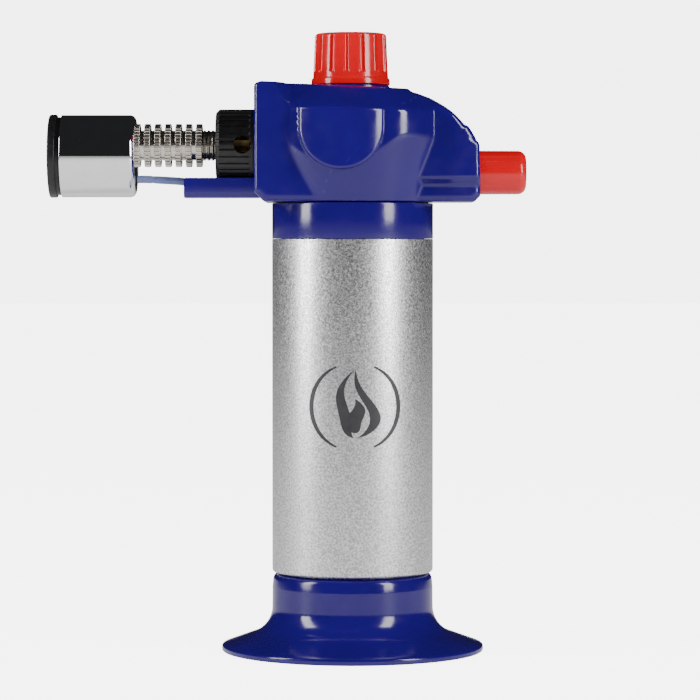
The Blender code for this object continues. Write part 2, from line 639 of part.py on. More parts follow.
def head_cutters():
    """Cavity, neck opening, shaft holes, and the trough for the lead and the air collar."""
    cavity = plate("head_cavity", inset(head_outline(), PLASTIC_WALL), 2 * (HEAD_HALF_WIDTH - PLASTIC_WALL),
                   None, turn=SIDE_ON)
    neck = bore("neck_opening", NECK_OPENING_R, (0.0, 0.0, HEAD_BOTTOM - MM), (0.0, 0.0, HEAD_BOTTOM + 4 * MM))
    knob_hole = bore("knob_hole", SPINDLE_R + 2 * GAP, (VALVE_X, 0.0, DECK_REAR_Z - 2 * PLASTIC_WALL),
                     (VALVE_X, 0.0, DECK_FRONT_Z + PLASTIC_WALL))
    mixer_hole = bore("mixer_hole", COLLAR_R - COLLAR_WALL, (HEAD_FRONT - MM, 0.0, BURNER_Z),
                      (HEAD_FRONT + 3 * MM, 0.0, BURNER_Z), MEDIUM)
    button_hole = bore("button_hole", BUTTON_R + GAP, (HEAD_REAR - 4 * MM, 0.0, IGNITER_Z),
                       (HEAD_REAR + MM, 0.0, IGNITER_Z), MEDIUM)
    saddle = bore("collar_saddle", COLLAR_R + GAP, (SHELF_FRONT - MM, 0.0, BURNER_Z),
                  (HEAD_FRONT, 0.0, BURNER_Z), MEDIUM)
    slot_half = LEAD_R + 2 * GAP
    slot = block("lead_slot", (SHELF_FRONT - MM, -slot_half, SHELF_BOTTOM + SHELF_FLOOR),
                 (HEAD_FRONT + 4 * MM, slot_half, SHELF_TOP + MM), None)
    return [as_cutter(cavity), neck, knob_hole, mixer_hole, button_hole, saddle, as_cutter(slot)]


def head_halves():
    form = head_body()
    openings = head_cutters()
    far = 60.0 * MM
    seam = GAP / 2.0
    low = Vector((-far, -far, HEAD_BOTTOM - far))
    high = Vector((far, far, DECK_FRONT_Z + far))
    for name, side in (("head_half_left", -1.0), ("head_half_right", 1.0)):
        keep_low = Vector((low.x, seam if side > 0 else low.y, low.z))
        keep_high = Vector((high.x, high.y if side > 0 else -seam, high.z))
        half = block(name, keep_low, keep_high, BLUE_PLASTIC)
        combine(half, form, "INTERSECT")
        cut(half, *openings)
        for number, (x, z) in enumerate(SCREW_PLACES):
            if side < 0:
                wall = (x, MM - HEAD_HALF_WIDTH, z)
                boss = bore(f"screw_boss_{number}", BOSS_R, wall, (x, SCREW_SEAT_Y, z))
                combine(half, boss, "UNION")
                cut(half, bore(f"screw_pilot_{number}", PILOT_R, (x, -SCREW_REACH - MM, z),
                               (x, SCREW_SEAT_Y + MM, z)))
            else:
                cut(half, bore(f"screw_well_{number}", SCREW_HEAD_R + GAP, (x, SCREW_SEAT_Y, z),
                               (x, 2 * SKIRT_HALF_WIDTH, z)))


def neck_ring():
    """Ring between the tank's shoulder and the head, with a web over the tank's neck and a rear gusset."""
    bottom = TANK_TOP + GAP
    top = HEAD_BOTTOM - GAP
    web = TANK_TOP + TANK_NECK_LENGTH + GAP
    socket = TANK_NECK_R + GAP
    opening = NECK_OPENING_R - MM
    ring = turned("neck_ring", [(opening, top), (TANK_R, top), (TANK_R, bottom), (socket, bottom),
                                (socket, web), (opening, web)], BLUE_PLASTIC, steps=FINE)
    gusset = plate("rear_gusset", [(TANK_R - MM, top), (TANK_R + 3.0 * MM, top), (TANK_R - MM, top - 4.2 * MM)],
                   4.0 * MM, None, turn=SIDE_ON)
    combine(ring, as_cutter(gusset), "UNION")


def housing_screws():
    for number, (x, z) in enumerate(SCREW_PLACES):
        head = SCREW_SEAT_Y + GAP
        top = head + SCREW_HEAD_HEIGHT
        profile = [(0.0, top), (SCREW_HEAD_R, top), (SCREW_HEAD_R, head),
                   (SCREW_SHANK_R, head), (SCREW_SHANK_R, -SCREW_REACH), (0.0, -SCREW_REACH)]
        across = Matrix.Rotation(math.radians(-90.0), 3, "X")
        turned(f"housing_screw_{number + 1}", profile, STEEL, (x, 0.0, z), across, steps=12)


# ---- burner ----------------------------------------------------------------------------------
def air_collar():
    """Ribbed sleeve that turns round the mixer to open or close the air hole."""
    rear = HEAD_FRONT - GAP
    front = rear - COLLAR_LENGTH
    length = rear - front
    chamfer = 1.2 * MM
    inner = COLLAR_R - COLLAR_WALL
    place = (rear, 0.0, BURNER_Z)
    collar = turned("air_collar",
                    [(THREAD_R + GAP, length), (COLLAR_R - chamfer, length), (COLLAR_R, length - chamfer),
                     (COLLAR_R, 0.0), (inner, 0.0), (inner, length - 1.5 * MM),
                     (THREAD_R + GAP, length - 1.5 * MM)],
                    BLACK_PLASTIC, place, FORWARD, steps=FINE)
    ribs = groove_cutter("collar_grooves", COLLAR_RIBS, COLLAR_R + 0.2 * MM, 0.6 * MM, 1.5 * MM,
                         length + MM, place, FORWARD)
    hole = bore("collar_air_hole", AIR_HOLE_R, (AIR_HOLE_X, 0.0, BURNER_Z),
                (AIR_HOLE_X, -2 * COLLAR_R, BURNER_Z))
    cut(collar, ribs, hole)


def mixer_tube():
    """Brass tube under the collar: flange inside the head, air hole, threaded front bore."""
    outer = COLLAR_R - COLLAR_WALL - GAP
    inner = outer - MIXER_WALL
    front = HEAD_FRONT - COLLAR_LENGTH + 1.5 * MM + GAP
    flange_front = HEAD_FRONT + PLASTIC_WALL + GAP
    flange_rear = flange_front + 2.0 * MM
    thread_bore = THREAD_R + GAP
    length = flange_rear - front
    mixer = turned("mixer_tube",
                   [(thread_bore, length), (outer, length), (outer, flange_rear - flange_front),
                    (outer + 1.4 * MM, flange_rear - flange_front), (outer + 1.4 * MM, 0.0), (inner, 0.0),
                    (inner, length - 2.6 * MM), (thread_bore, length - 2.6 * MM)],
                   BRASS, (flange_rear, 0.0, BURNER_Z), FORWARD)
    cut(mixer, bore("mixer_air_hole", AIR_HOLE_R, (AIR_HOLE_X, 0.0, BURNER_Z),
                    (AIR_HOLE_X, -2 * COLLAR_R, BURNER_Z)))


def gas_feed():
    """Tube from the valve, the holder that closes the mixer's rear, and the jet in its front."""
    mixer_inner = COLLAR_R - COLLAR_WALL - GAP - MIXER_WALL
    holder_r = mixer_inner - GAP
    holder_front = -29.5 * MM
    holder_rear = -22.0 * MM
    tube_hole = GAS_TUBE_R + GAP
    length = holder_rear - holder_front
    turned("jet_holder",
           [(JET_R + GAP, length), (holder_r, length), (holder_r, 2.6 * MM), (4.0 * MM, 2.6 * MM), (4.0 * MM, 0.0),
            (tube_hole, 0.0), (tube_hole, 3.5 * MM), (GAS_TUBE_BORE_R, 3.5 * MM), (GAS_TUBE_BORE_R, 4.2 * MM),
            (JET_R + GAP, 4.2 * MM)],
           BRASS, (holder_rear, 0.0, BURNER_Z), FORWARD, steps=SMALL)
    jet_rear = holder_front + 3.0 * MM
    turned("gas_jet",
           [(0.35 * MM, 5.5 * MM), (1.0 * MM, 5.5 * MM), (JET_R, 4.0 * MM), (JET_R, 0.0), (0.9 * MM, 0.0),
            (0.9 * MM, 4.4 * MM), (0.35 * MM, 4.8 * MM)],
           BRASS, (jet_rear, 0.0, BURNER_Z), FORWARD, steps=SMALL)
    tube_start = VALVE_X - VALVE_CHAMBER_R - GAP
    tube_end = holder_rear - 3.2 * MM
    turned("gas_tube", ring_profile(GAS_TUBE_R, GAS_TUBE_BORE_R, 0.0, tube_start - tube_end), BRASS,
           (tube_start, 0.0, BURNER_Z), FORWARD, steps=SMALL)


def burner_tube():
    """One turned piece: threaded rear end, seven cooling fins, and a plain front end."""
    rear = HEAD_FRONT - COLLAR_LENGTH + 4.6 * MM
    front = -76.0 * MM
    thread_front = LAST_FIN_X + FIN_WIDTH / 2.0
    half = FIN_WIDTH / 2.0
    profile = [(TUBE_BORE_R, rear - front), (TUBE_R, rear - front)]
    for number in reversed(range(FIN_COUNT)):
        height = rear - (LAST_FIN_X - number * FIN_PITCH)
        profile += [(TUBE_R, height + half), (FIN_R, height + half), (FIN_R, height - half)]
        if number:
            profile.append((TUBE_R, height - half))
    crest = rear - thread_front
    profile.append((THREAD_CORE_R, crest))
    while crest > 0.6 * THREAD_PITCH:
        profile += [(THREAD_R, crest - 0.5 * THREAD_PITCH), (THREAD_CORE_R, crest - THREAD_PITCH)]
        crest -= THREAD_PITCH
    profile[-1] = (THREAD_CORE_R, 0.0)
    profile.append((TUBE_BORE_R, 0.0))
    turned("burner_tube", profile, NICKEL, (rear, 0.0, BURNER_Z), FORWARD, steps=20)


def barrel():
    """Chromed barrel, open in front, with a rear wall that the finned tube passes through off-centre."""
    length = BARREL_REAR - BARREL_FRONT
    inner = BARREL_R - BARREL_WALL
    edge = arc((BARREL_R - BARREL_EDGE, BARREL_EDGE), BARREL_EDGE, 0.0, -90.0, 3)
    shell = turned("barrel", [(inner, length), (BARREL_R, length), *edge, (MM, 0.0), (MM, BARREL_WALL),
                              (inner, BARREL_WALL)], CHROME, (BARREL_REAR, 0.0, BARREL_Z), FORWARD, steps=FINE)
    fin_hole = bore("barrel_fin_hole", FIN_R + GAP, (BARREL_REAR + MM, 0.0, BURNER_Z),
                    (BARREL_REAR - 1.4 * MM, 0.0, BURNER_Z), MEDIUM)
    lead_hole = bore("barrel_lead_hole", INSULATOR_R + GAP, (BARREL_REAR + MM, 0.0, INSULATOR_Z),
                     (BARREL_REAR - 1.4 * MM, 0.0, INSULATOR_Z))
    centre_plug = turned("barrel_plug", rod_profile(2 * MM, 0.0, BARREL_WALL), None,
                         (BARREL_REAR, 0.0, BARREL_Z), FORWARD, steps=SMALL)
    combine(shell, as_cutter(centre_plug), "UNION")
    cut(shell, fin_hole, lead_hole)


def barrel_fittings():
    """Black front ring, inner support plate, flame holder, electrode and its ceramic insulator."""
    inner = BARREL_R - BARREL_WALL
    sleeve = inner - GAP
    rim_length = BARREL_FRONT + RIM_SLEEVE_LENGTH - RIM_FRONT
    band_top = rim_length - FLANGE_THICKNESS
    band_bottom = rim_length - (BARREL_FRONT - GAP - RIM_FRONT)
    turned("barrel_rim",
           [(RIM_BORE_R, rim_length), (RIM_R - 0.4 * MM, rim_length), (RIM_R, rim_length - 0.4 * MM),
            (RIM_R, band_top), (RIM_BAND_R, band_top), (RIM_BAND_R, band_bottom), (sleeve, band_bottom),
            (sleeve, 0.0), (RIM_BORE_R, 0.0)],
           BLACK_PLASTIC, (RIM_FRONT + rim_length, 0.0, BARREL_Z), FORWARD, steps=FINE)
    disc = turned("barrel_plate", rod_profile(sleeve, 0.0, 1.2 * MM), STEEL, (PLATE_X, 0.0, BARREL_Z), FORWARD)
    cut(disc,
        bore("plate_tube_hole", TUBE_R + GAP, (PLATE_X + MM, 0.0, BURNER_Z), (PLATE_X - 3 * MM, 0.0, BURNER_Z)),
        bore("plate_lead_hole", INSULATOR_R + GAP, (PLATE_X + MM, 0.0, INSULATOR_Z),
             (PLATE_X - 3 * MM, 0.0, INSULATOR_Z)))
    holder_r = TUBE_R + GAP + 1.2 * MM
    holder = turned("flame_holder",
                    [(0.0, 8.0 * MM), (holder_r, 8.0 * MM), (holder_r, 0.0), (TUBE_R + GAP, 0.0),
                     (TUBE_R + GAP, 6.5 * MM), (0.0, 6.5 * MM)],
                    STEEL, (-70.5 * MM, 0.0, BURNER_Z), FORWARD)
    cut(holder, groove_cutter("flame_ports", 8, 3.0 * MM, 0.7 * MM, 5.0 * MM, 9.0 * MM,
                              (-70.5 * MM, 0.0, BURNER_Z), FORWARD))
    turned("electrode_insulator", ring_profile(INSULATOR_R, ELECTRODE_R + GAP, 0.0, INSULATOR_LENGTH), CERAMIC,
           (BARREL_REAR - GAP, 0.0, INSULATOR_Z), FORWARD, steps=16)
    tip = [(-68.0 * MM, 0.0, INSULATOR_Z), (-79.0 * MM, 0.0, INSULATOR_Z), (-80.6 * MM, 0.0, INSULATOR_Z + 1.2 * MM),
           (-81.0 * MM, 0.0, BURNER_Z - 5.5 * MM)]
    wire("spark_electrode", tip, ELECTRODE_R, STEEL)


# ---- ignition --------------------------------------------------------------------------------
def igniter():
    """Piezo striker: fixed body with a bore, return spring, and the plunger carried by the button."""
    depth = IGNITER_REAR - IGNITER_BORE_DEPTH
    rear_length = IGNITER_REAR - IGNITER_FRONT
    place = (IGNITER_FRONT, 0.0, IGNITER_Z)
    turned("igniter_body",
           [(0.0, depth - IGNITER_FRONT), (IGNITER_BORE_R, depth - IGNITER_FRONT),
            (IGNITER_BORE_R, rear_length), (IGNITER_R, rear_length), (IGNITER_R, 0.0), (0.0, 0.0)],
           BLACK_PLASTIC, place, REARWARD)
    spring_end = IGNITER_REAR - 5.4 * MM
    wire_r = 0.35 * MM
    wire("igniter_spring", coil(IGNITER_BORE_R - GAP - wire_r, depth + GAP + wire_r, spring_end - GAP - wire_r, 5),
         wire_r, STEEL, (0.0, 0.0, IGNITER_Z), REARWARD)
    end = BUTTON_END - BUTTON_WALL - 14.0 * MM
    turned("igniter_plunger", rod_profile(IGNITER_BORE_R - GAP, 0.0, end - spring_end), NYLON,
           (spring_end, 0.0, IGNITER_Z), REARWARD, steps=SMALL)


def ignition_button():
    """Hollow button with a rounded end, a retaining flange, and a peg that pushes the plunger."""
    length = BUTTON_END - BUTTON_FLANGE_X
    inner = BUTTON_R - BUTTON_WALL
    roof = length - 2.0 * MM
    peg_start = BUTTON_END - BUTTON_WALL - 14.0 * MM + GAP - BUTTON_FLANGE_X
    corner = arc((BUTTON_R - BUTTON_ROUND, length - BUTTON_ROUND), BUTTON_ROUND, 90.0, 0.0, 4)
    button = turned("ignition_button",
                    [(0.0, length), *corner, (BUTTON_R, 1.5 * MM), (BUTTON_FLANGE_R, 1.5 * MM),
                     (BUTTON_FLANGE_R, 0.0), (inner, 0.0), (inner, roof), (2.5 * MM, roof),
                     (2.5 * MM, peg_start), (0.0, peg_start)],
                    RED_PLASTIC, (BUTTON_FLANGE_X, 0.0, IGNITER_Z), REARWARD)
    flat = IGNITER_Z - BUTTON_R - GAP / 2.0
    below = block("button_flat", (BUTTON_FLANGE_X - MM, -BUTTON_FLANGE_R, flat - 2 * BUTTON_R),
                  (BUTTON_FLANGE_X + 2 * MM, BUTTON_FLANGE_R, flat), None)
    cut(button, as_cutter(below))


def ignition_lead():
    """Sleeved lead from the igniter, past the valve, along the shelf trough and up to the barrel."""
    start_y = -3.2 * MM
    side_y = -(VALVE_R + LEAD_R + 2.8 * MM)
    route = [(IGNITER_FRONT - GAP, start_y, IGNITER_Z), (IGNITER_FRONT - 1.6 * MM, start_y, IGNITER_Z),
             (4.6 * MM, -5.2 * MM, IGNITER_Z - 0.1 * MM), (1.2 * MM, side_y, IGNITER_Z - MM),
             (-5.0 * MM, side_y, IGNITER_Z - 2.6 * MM), (-14.0 * MM, -4.0 * MM, TROUGH_Z + MM),
             (-22.0 * MM, -0.6 * MM, TROUGH_Z), (HEAD_FRONT, 0.0, TROUGH_Z),
             (SHELF_FRONT + 10.1 * MM, 0.0, TROUGH_Z), (SHELF_FRONT + 1.1 * MM, 0.0, TROUGH_Z + 2.0 * MM),
             (BARREL_REAR + 7.1 * MM, 0.0, INSULATOR_Z - 0.2 * MM),
             (BARREL_REAR + 3.0 * MM, 0.0, INSULATOR_Z), (BARREL_REAR + GAP, 0.0, INSULATOR_Z)]
    wire("ignition_lead", smooth_route(route, 3), LEAD_R, GREY_SLEEVE)


def earth_contact():
    """Bent strip that joins the igniter's body to the valve body."""
    strip = 0.4 * MM
    near = VALVE_X + VALVE_R + GAP
    far = IGNITER_FRONT - GAP
    low = IGNITER_Z + 3.0 * MM
    high = low + 3.6 * MM
    outline = [(near, low), (near, high), (near + strip, high), (near + strip, low + strip),
               (far, low + strip), (far, low)]
    plate("earth_contact", outline, 3.0 * MM, STEEL, turn=SIDE_ON)


def main():
    clear_scene()
    make_collection("butane_torch")
    make_collection("cutters")
    frame = bpy.data.objects.new("torch_frame", None)
    frame.location.x = -(RIM_FRONT + BUTTON_END) / 2.0
    bpy.data.collections["butane_torch"].objects.link(frame)
    tank_shell()
    tank_lid()
    base_stand()
    fill_valve()
    valve_body()
    valve_needle()
    gland_nut()
    knob_spindle()
    flow_knob()
    head_halves()
    neck_ring()
    housing_screws()
    air_collar()
    mixer_tube()
    gas_feed()
    burner_tube()
    barrel()
    barrel_fittings()
    igniter()
    ignition_button()
    ignition_lead()
    earth_contact()
    bpy.context.view_layer.update()


main()
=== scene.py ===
"""Finished surfaces for the butane torch, laid out as an add-on and run as a script."""
import json
import math

import bmesh
import bpy
import numpy as np
from bpy.props import FloatProperty, FloatVectorProperty, IntProperty, PointerProperty
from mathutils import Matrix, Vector


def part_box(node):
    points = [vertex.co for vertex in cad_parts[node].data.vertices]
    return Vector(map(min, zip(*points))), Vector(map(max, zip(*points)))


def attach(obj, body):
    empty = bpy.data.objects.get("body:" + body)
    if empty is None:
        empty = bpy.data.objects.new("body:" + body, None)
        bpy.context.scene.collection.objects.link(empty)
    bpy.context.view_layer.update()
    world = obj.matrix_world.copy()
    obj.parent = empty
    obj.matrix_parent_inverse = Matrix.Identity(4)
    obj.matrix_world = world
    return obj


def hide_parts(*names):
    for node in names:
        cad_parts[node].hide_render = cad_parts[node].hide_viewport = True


bl_info = {
    "name": "Butane torch finish",
    "version": (1, 0, 0),
    "blender": (4, 5, 0),
    "location": "3D View > Sidebar > Torch",
    "description": "Builds the finished surfaces and materials of a butane torch around its frame",
    "category": "Object",
}

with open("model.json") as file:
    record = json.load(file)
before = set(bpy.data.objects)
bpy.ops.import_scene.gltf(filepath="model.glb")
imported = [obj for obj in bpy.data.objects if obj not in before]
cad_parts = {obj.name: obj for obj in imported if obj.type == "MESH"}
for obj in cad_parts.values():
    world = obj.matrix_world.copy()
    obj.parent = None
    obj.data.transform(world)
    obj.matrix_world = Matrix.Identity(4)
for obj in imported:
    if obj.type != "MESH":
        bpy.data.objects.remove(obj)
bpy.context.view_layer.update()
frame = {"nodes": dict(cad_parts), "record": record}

MM = 0.001
TAU = math.tau
X, Y, Z = range(3)


def span(node):
    """Lowest and highest corners of a node, as arrays."""
    low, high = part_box(node)
    return np.array(low), np.array(high)


def middle_of(node, axis):
    """Place of a node's middle along an axis."""
    low, high = span(node)
    return float(low[axis] + high[axis]) / 2.0


def half_of(node, axis):
    """Half of a node's size along an axis."""
    low, high = span(node)
    return float(high[axis] - low[axis]) / 2.0


TANK_LOW, TANK_HIGH = span("tank_shell")
AXIS_X = middle_of("tank_shell", X)             # the tank's axis
TANK_R = half_of("tank_shell", X)
NECK_R = 22.0 * MM                              # the tank's reduced ends
COLLAR_LOW, COLLAR_HIGH = span("air_collar")
BURNER_Z = middle_of("air_collar", Z)
BARREL_LOW, BARREL_HIGH = span("barrel")
BARREL_Z = middle_of("barrel", Z)
KNOB_LOW, KNOB_HIGH = span("flow_knob")
KNOB_X = middle_of("flow_knob", X)
BUTTON_LOW, BUTTON_HIGH = span("ignition_button")
BUTTON_Z = middle_of("igniter_body", Z)
BUTTON_R = 6.8 * MM
STAND_TOP = float(span("base_stand")[1][Z])
GAP = 0.3 * MM                                  # play between neighbouring pieces
AXIS = (AXIS_X, 0.0, 0.0)
FINISHES = {}                                   # materials by name, mostly that of their slot


# ---- sizes and colours that a user would change -------------------------------------------------
def length_setting(name, description, value):
    """Length that a user can set."""
    return FloatProperty(name=name, description=description, default=value, unit="LENGTH")


def count_setting(name, description, value, least):
    """Whole number that a user can set."""
    return IntProperty(name=name, description=description, default=value, min=least)


def colour_setting(name, description, value):
    """Colour that a user can set."""
    return FloatVectorProperty(name=name, description=description, default=value, subtype="COLOR")


class TorchSizes(bpy.types.PropertyGroup):
    """Sizes of the finished surfaces."""
    grooves: count_setting("Knob grooves", "Grip grooves of the knob", 15, 3)
    groove_depth: length_setting("Groove depth", "Depth of a knob groove", 0.7 * MM)
    ribs: count_setting("Collar ribs", "Ribs round the air collar", 30, 6)
    rib_depth: length_setting("Rib depth", "Height of a collar rib", 0.6 * MM)
    teeth: count_setting("Fin teeth", "Knurl teeth round a cooling fin", 34, 8)
    tooth_depth: length_setting("Tooth depth", "Depth of the fin knurl", 0.45 * MM)
    camera_distance: length_setting("Camera distance", "From the tank's axis to the lens", 1.0)


class TorchColours(bpy.types.PropertyGroup):
    """Colours of the finishes."""
    blue: colour_setting("Blue plastic", "Head, ring and stand", (0.012, 0.0008, 0.13))
    red: colour_setting("Red plastic", "Knob and button", (0.66, 0.001, 0.008))
    black: colour_setting("Black plastic", "Air collar and barrel ring", (0.005, 0.005, 0.0055))
    tank: colour_setting("Blasted aluminium", "Tank", (0.70, 0.70, 0.71))
    nickel: colour_setting("Nickel plate", "Finned burner tube", (0.66, 0.62, 0.56))
    ink: colour_setting("Emblem ink", "Printed emblem", (0.030, 0.030, 0.034))


# ---- surfaces ------------------------------------------------------------------------------------
def signed_volume(points, faces):
    """Sum of the tetrahedra between the origin and each face's triangles."""
    a = points[faces[:, 0]]
    total = 0.0
    for second, third in ((1, 2), (2, 3)):
        total += np.einsum("ij,ij->i", a, np.cross(points[faces[:, second]], points[faces[:, third]])).sum()
    return total / 6.0


def put_in_scene(name, data):
    """New object for some data, in the scene."""
    thing = bpy.data.objects.new(name, data)
    bpy.context.scene.collection.objects.link(thing)
    return thing


def add_mesh(name, points, faces, body, slot, nodes=(), finish=None):
    """Put points and faces in an object that rides on a body, in its slot's finish or another.

    A face has four corners; one whose first or last two corners are the same point is a triangle.
    """
    if signed_volume(points, faces) < 0.0:
        faces = faces[:, ::-1]
    mesh = bpy.data.meshes.new(name)
    corners = [face[:3] if face[2] == face[3] else face for face in faces.tolist()]
    corners = [face[1:] if face[0] == face[1] else face for face in corners]
    mesh.from_pydata(points, [], corners)
    mesh.validate()
    mesh.shade_smooth()
    mesh.set_sharp_from_angle(angle=math.radians(38.0))
    piece = put_in_scene(name, mesh)
    mesh.materials.append(FINISHES[finish or slot])
    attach(piece, body)
    if nodes:
        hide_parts(*nodes)
    return piece


def grid_faces(rows, columns, wrap_rows, wrap_columns):
    """Corner numbers of the cells of a grid whose points are numbered row by row."""
    down = np.arange(rows if wrap_rows else rows - 1)[:, None]
    along = np.arange(columns if wrap_columns else columns - 1)[None, :]
    next_down = (down + 1) % rows
    next_along = (along + 1) % columns
    cells = np.stack([down * columns + along, next_down * columns + along,
                      next_down * columns + next_along, down * columns + next_along], axis=-1)
    return cells.reshape(-1, 4)


def fillet(corners, steps=6):
    """Replace each corner (r, h, radius) of an outline by an arc that touches both its sides."""
    outline = []
    count = len(corners)
    for i, (r, h, radius) in enumerate(corners):
        here = np.array((r, h))
        if radius <= 0.0:
            outline.append(here)
            continue
        before = np.array(corners[i - 1][:2]) - here
        after = np.array(corners[(i + 1) % count][:2]) - here
        before = before / np.linalg.norm(before)
        after = after / np.linalg.norm(after)
        half = math.acos(float(np.clip(before @ after, -1.0, 1.0))) / 2.0
        middle = (before + after) / np.linalg.norm(before + after)
        centre = here + middle * radius / math.sin(half)
        start = here + before * radius / math.tan(half) - centre
        end = here + after * radius / math.tan(half) - centre
        t = np.linspace(0.0, 1.0, steps + 1)[:, None]
        turn = math.pi - 2.0 * half
        arc = (start * np.sin((1.0 - t) * turn) + end * np.sin(t * turn)) / math.sin(turn)
        outline.extend(arc + centre)
    return np.array(outline)


def refine(outline, longest):
    """Split an outline's long straight runs, so that a pattern can shape them."""
    steps = np.maximum(np.ceil(np.linalg.norm(np.diff(outline, axis=0), axis=1) / longest).astype(int), 1)
    runs = [np.linspace(a, b, n, endpoint=False) for a, b, n in zip(outline, outline[1:], steps)]
    return np.vstack([*runs, outline[-1:]])


def place_turned(r, h, angle, centre, direction):
    """Points at radius r, height h and angle round an axis: up, forward (-X) or rearward (+X)."""
    across = r * np.cos(angle)
    side = r * np.sin(angle)
    if direction == "up":
        parts = (across, side, h)
    elif direction == "forward":
        parts = (-h, side, across)
    else:
        parts = (h, side, -across)
    return np.stack(parts, axis=-1).reshape(-1, 3) + np.array(centre)


def turned(name, outline, centre, direction, steps, body, slot, nodes, shape=None):
    """Surface of revolution: the outline (r, h) carried round an axis.

    An outline with both ends on the axis is solid, and its ends become single points; any other
    is closed into a ring.  `shape(r, h, angle)` may give each point a new radius.
    """
    outline = np.asarray(outline, dtype=float)
    angle = np.arange(steps) * TAU / steps
    solid = outline[0, 0] == 0.0 and outline[-1, 0] == 0.0
    rings = outline[1:-1] if solid else outline
    r = np.repeat(rings[:, :1], steps, axis=1)
    h = np.repeat(rings[:, 1:], steps, axis=1)
    a = np.repeat(angle[None, :], len(rings), axis=0)
    if shape:
        r = shape(r, h, a)
    points = place_turned(r, h, a, centre, direction)
    faces = grid_faces(len(rings), steps, not solid, True)
    if solid:
        ends = place_turned(np.zeros(2), outline[[0, -1], 1], np.zeros(2), centre, direction)
        top = len(points)
        points = np.vstack([points, ends])
        here = np.arange(steps)
        after = (here + 1) % steps
        last = (len(rings) - 1) * steps
        tip = np.full(steps, top)
        first_fan = np.stack([after, here, tip, tip], axis=-1)
        last_fan = np.stack([here + last, after + last, tip + 1, tip + 1], axis=-1)
        faces = np.vstack([faces, first_fan, last_fan])
    return add_mesh(name, points, faces, body, slot, nodes)


def tube(name, route, radius, sides, body, slot, nodes):
    """Round tube: circles square to a route, each with its own radius, and closed at both ends."""
    tangent = np.gradient(route, axis=0)
    tangent /= np.linalg.norm(tangent, axis=1)[:, None]
    side = np.cross(tangent, np.array((0.0, 0.0, 1.0)))
    side /= np.linalg.norm(side, axis=1)[:, None]
    up = np.cross(side, tangent)
    a = (np.arange(sides) * TAU / sides)[None, :, None]
    rings = route[:, None] + radius[:, None, None] * (np.cos(a) * side[:, None] + np.sin(a) * up[:, None])
    rings = np.concatenate([np.repeat(route[:1, None], sides, axis=1), rings,
                            np.repeat(route[-1:, None], sides, axis=1)])
    faces = grid_faces(len(rings), sides, False, True)
    return add_mesh(name, rings.reshape(-1, 3), faces, body, slot, nodes)


def smooth_route(points, steps):
    """Catmull-Rom curve through the route's points, as one array."""
    knots = np.vstack([2 * points[0] - points[1], points, 2 * points[-1] - points[-2]])
    a, b, c, d = (knots[i:len(knots) - 3 + i, None] for i in range(4))
    t = np.linspace(0.0, 1.0, steps, endpoint=False)[None, :, None]
    curve = 0.5 * (2 * b + (c - a) * t + (2 * a - 5 * b + 4 * c - d) * t ** 2
                   + (3 * b - a - 3 * c + d) * t ** 3)
    return np.vstack([curve.reshape(-1, 3), knots[-2:-1]])


def step(x, low, high):
    """Smooth step from 0 at low to 1 at high."""
    t = np.clip((x - low) / (high - low), 0.0, 1.0)
    return t * t * (3.0 - 2.0 * t)


def bore_hole(piece, radius, start, end):
    """Cut a round hole between two points, and keep the result as the piece's mesh."""
    start, end = np.array(start), np.array(end)
    axis = (end - start) / np.linalg.norm(end - start)
    side = np.cross(axis, np.roll(axis, 1))
    side /= np.linalg.norm(side)
    up = np.cross(axis, side)
    sides = 48
    angle = (np.arange(sides) * TAU / sides)[:, None]
    ring = radius * (np.cos(angle) * side + np.sin(angle) * up)
    points = np.vstack([0.0 * ring + start, ring + start, ring + end, 0.0 * ring + end])
    faces = grid_faces(4, sides, False, True)
    if signed_volume(points - start, faces) < 0.0:
        faces = faces[:, ::-1]
    mesh = bpy.data.meshes.new("hole")
    mesh.from_pydata(points, [], faces.tolist())
    weld(mesh)
    cutter = put_in_scene("hole", mesh)
    cut = piece.modifiers.new("hole", "BOOLEAN")
    cut.object = cutter
    cut.operation = "DIFFERENCE"
    cut.solver = "MANIFOLD"
    graph = bpy.context.evaluated_depsgraph_get()
    result = bpy.data.meshes.new_from_object(piece.evaluated_get(graph))
    piece.modifiers.clear()
    piece.data = result
    bpy.data.objects.remove(cutter)


def weld(mesh):
    """Merge the doubled points at a mesh's poles."""
    shape = bmesh.new()
    shape.from_mesh(mesh)
    bmesh.ops.remove_doubles(shape, verts=shape.verts, dist=1e-6)
    shape.to_mesh(mesh)
    shape.free()


# ---- materials -------------------------------------------------------------------------------------
def set_inputs(node, values):
    """Give constants to a node's inputs, by name."""
    for key, value in values.items():
        node.inputs[key].default_value = value


def add_node(tree, kind, values=None, **settings):
    """Add a shader node with its settings, then the constants of its inputs."""
    node = tree.nodes.new(kind)
    for key, value in settings.items():
        setattr(node, key, value)
    set_inputs(node, values or {})
    return node


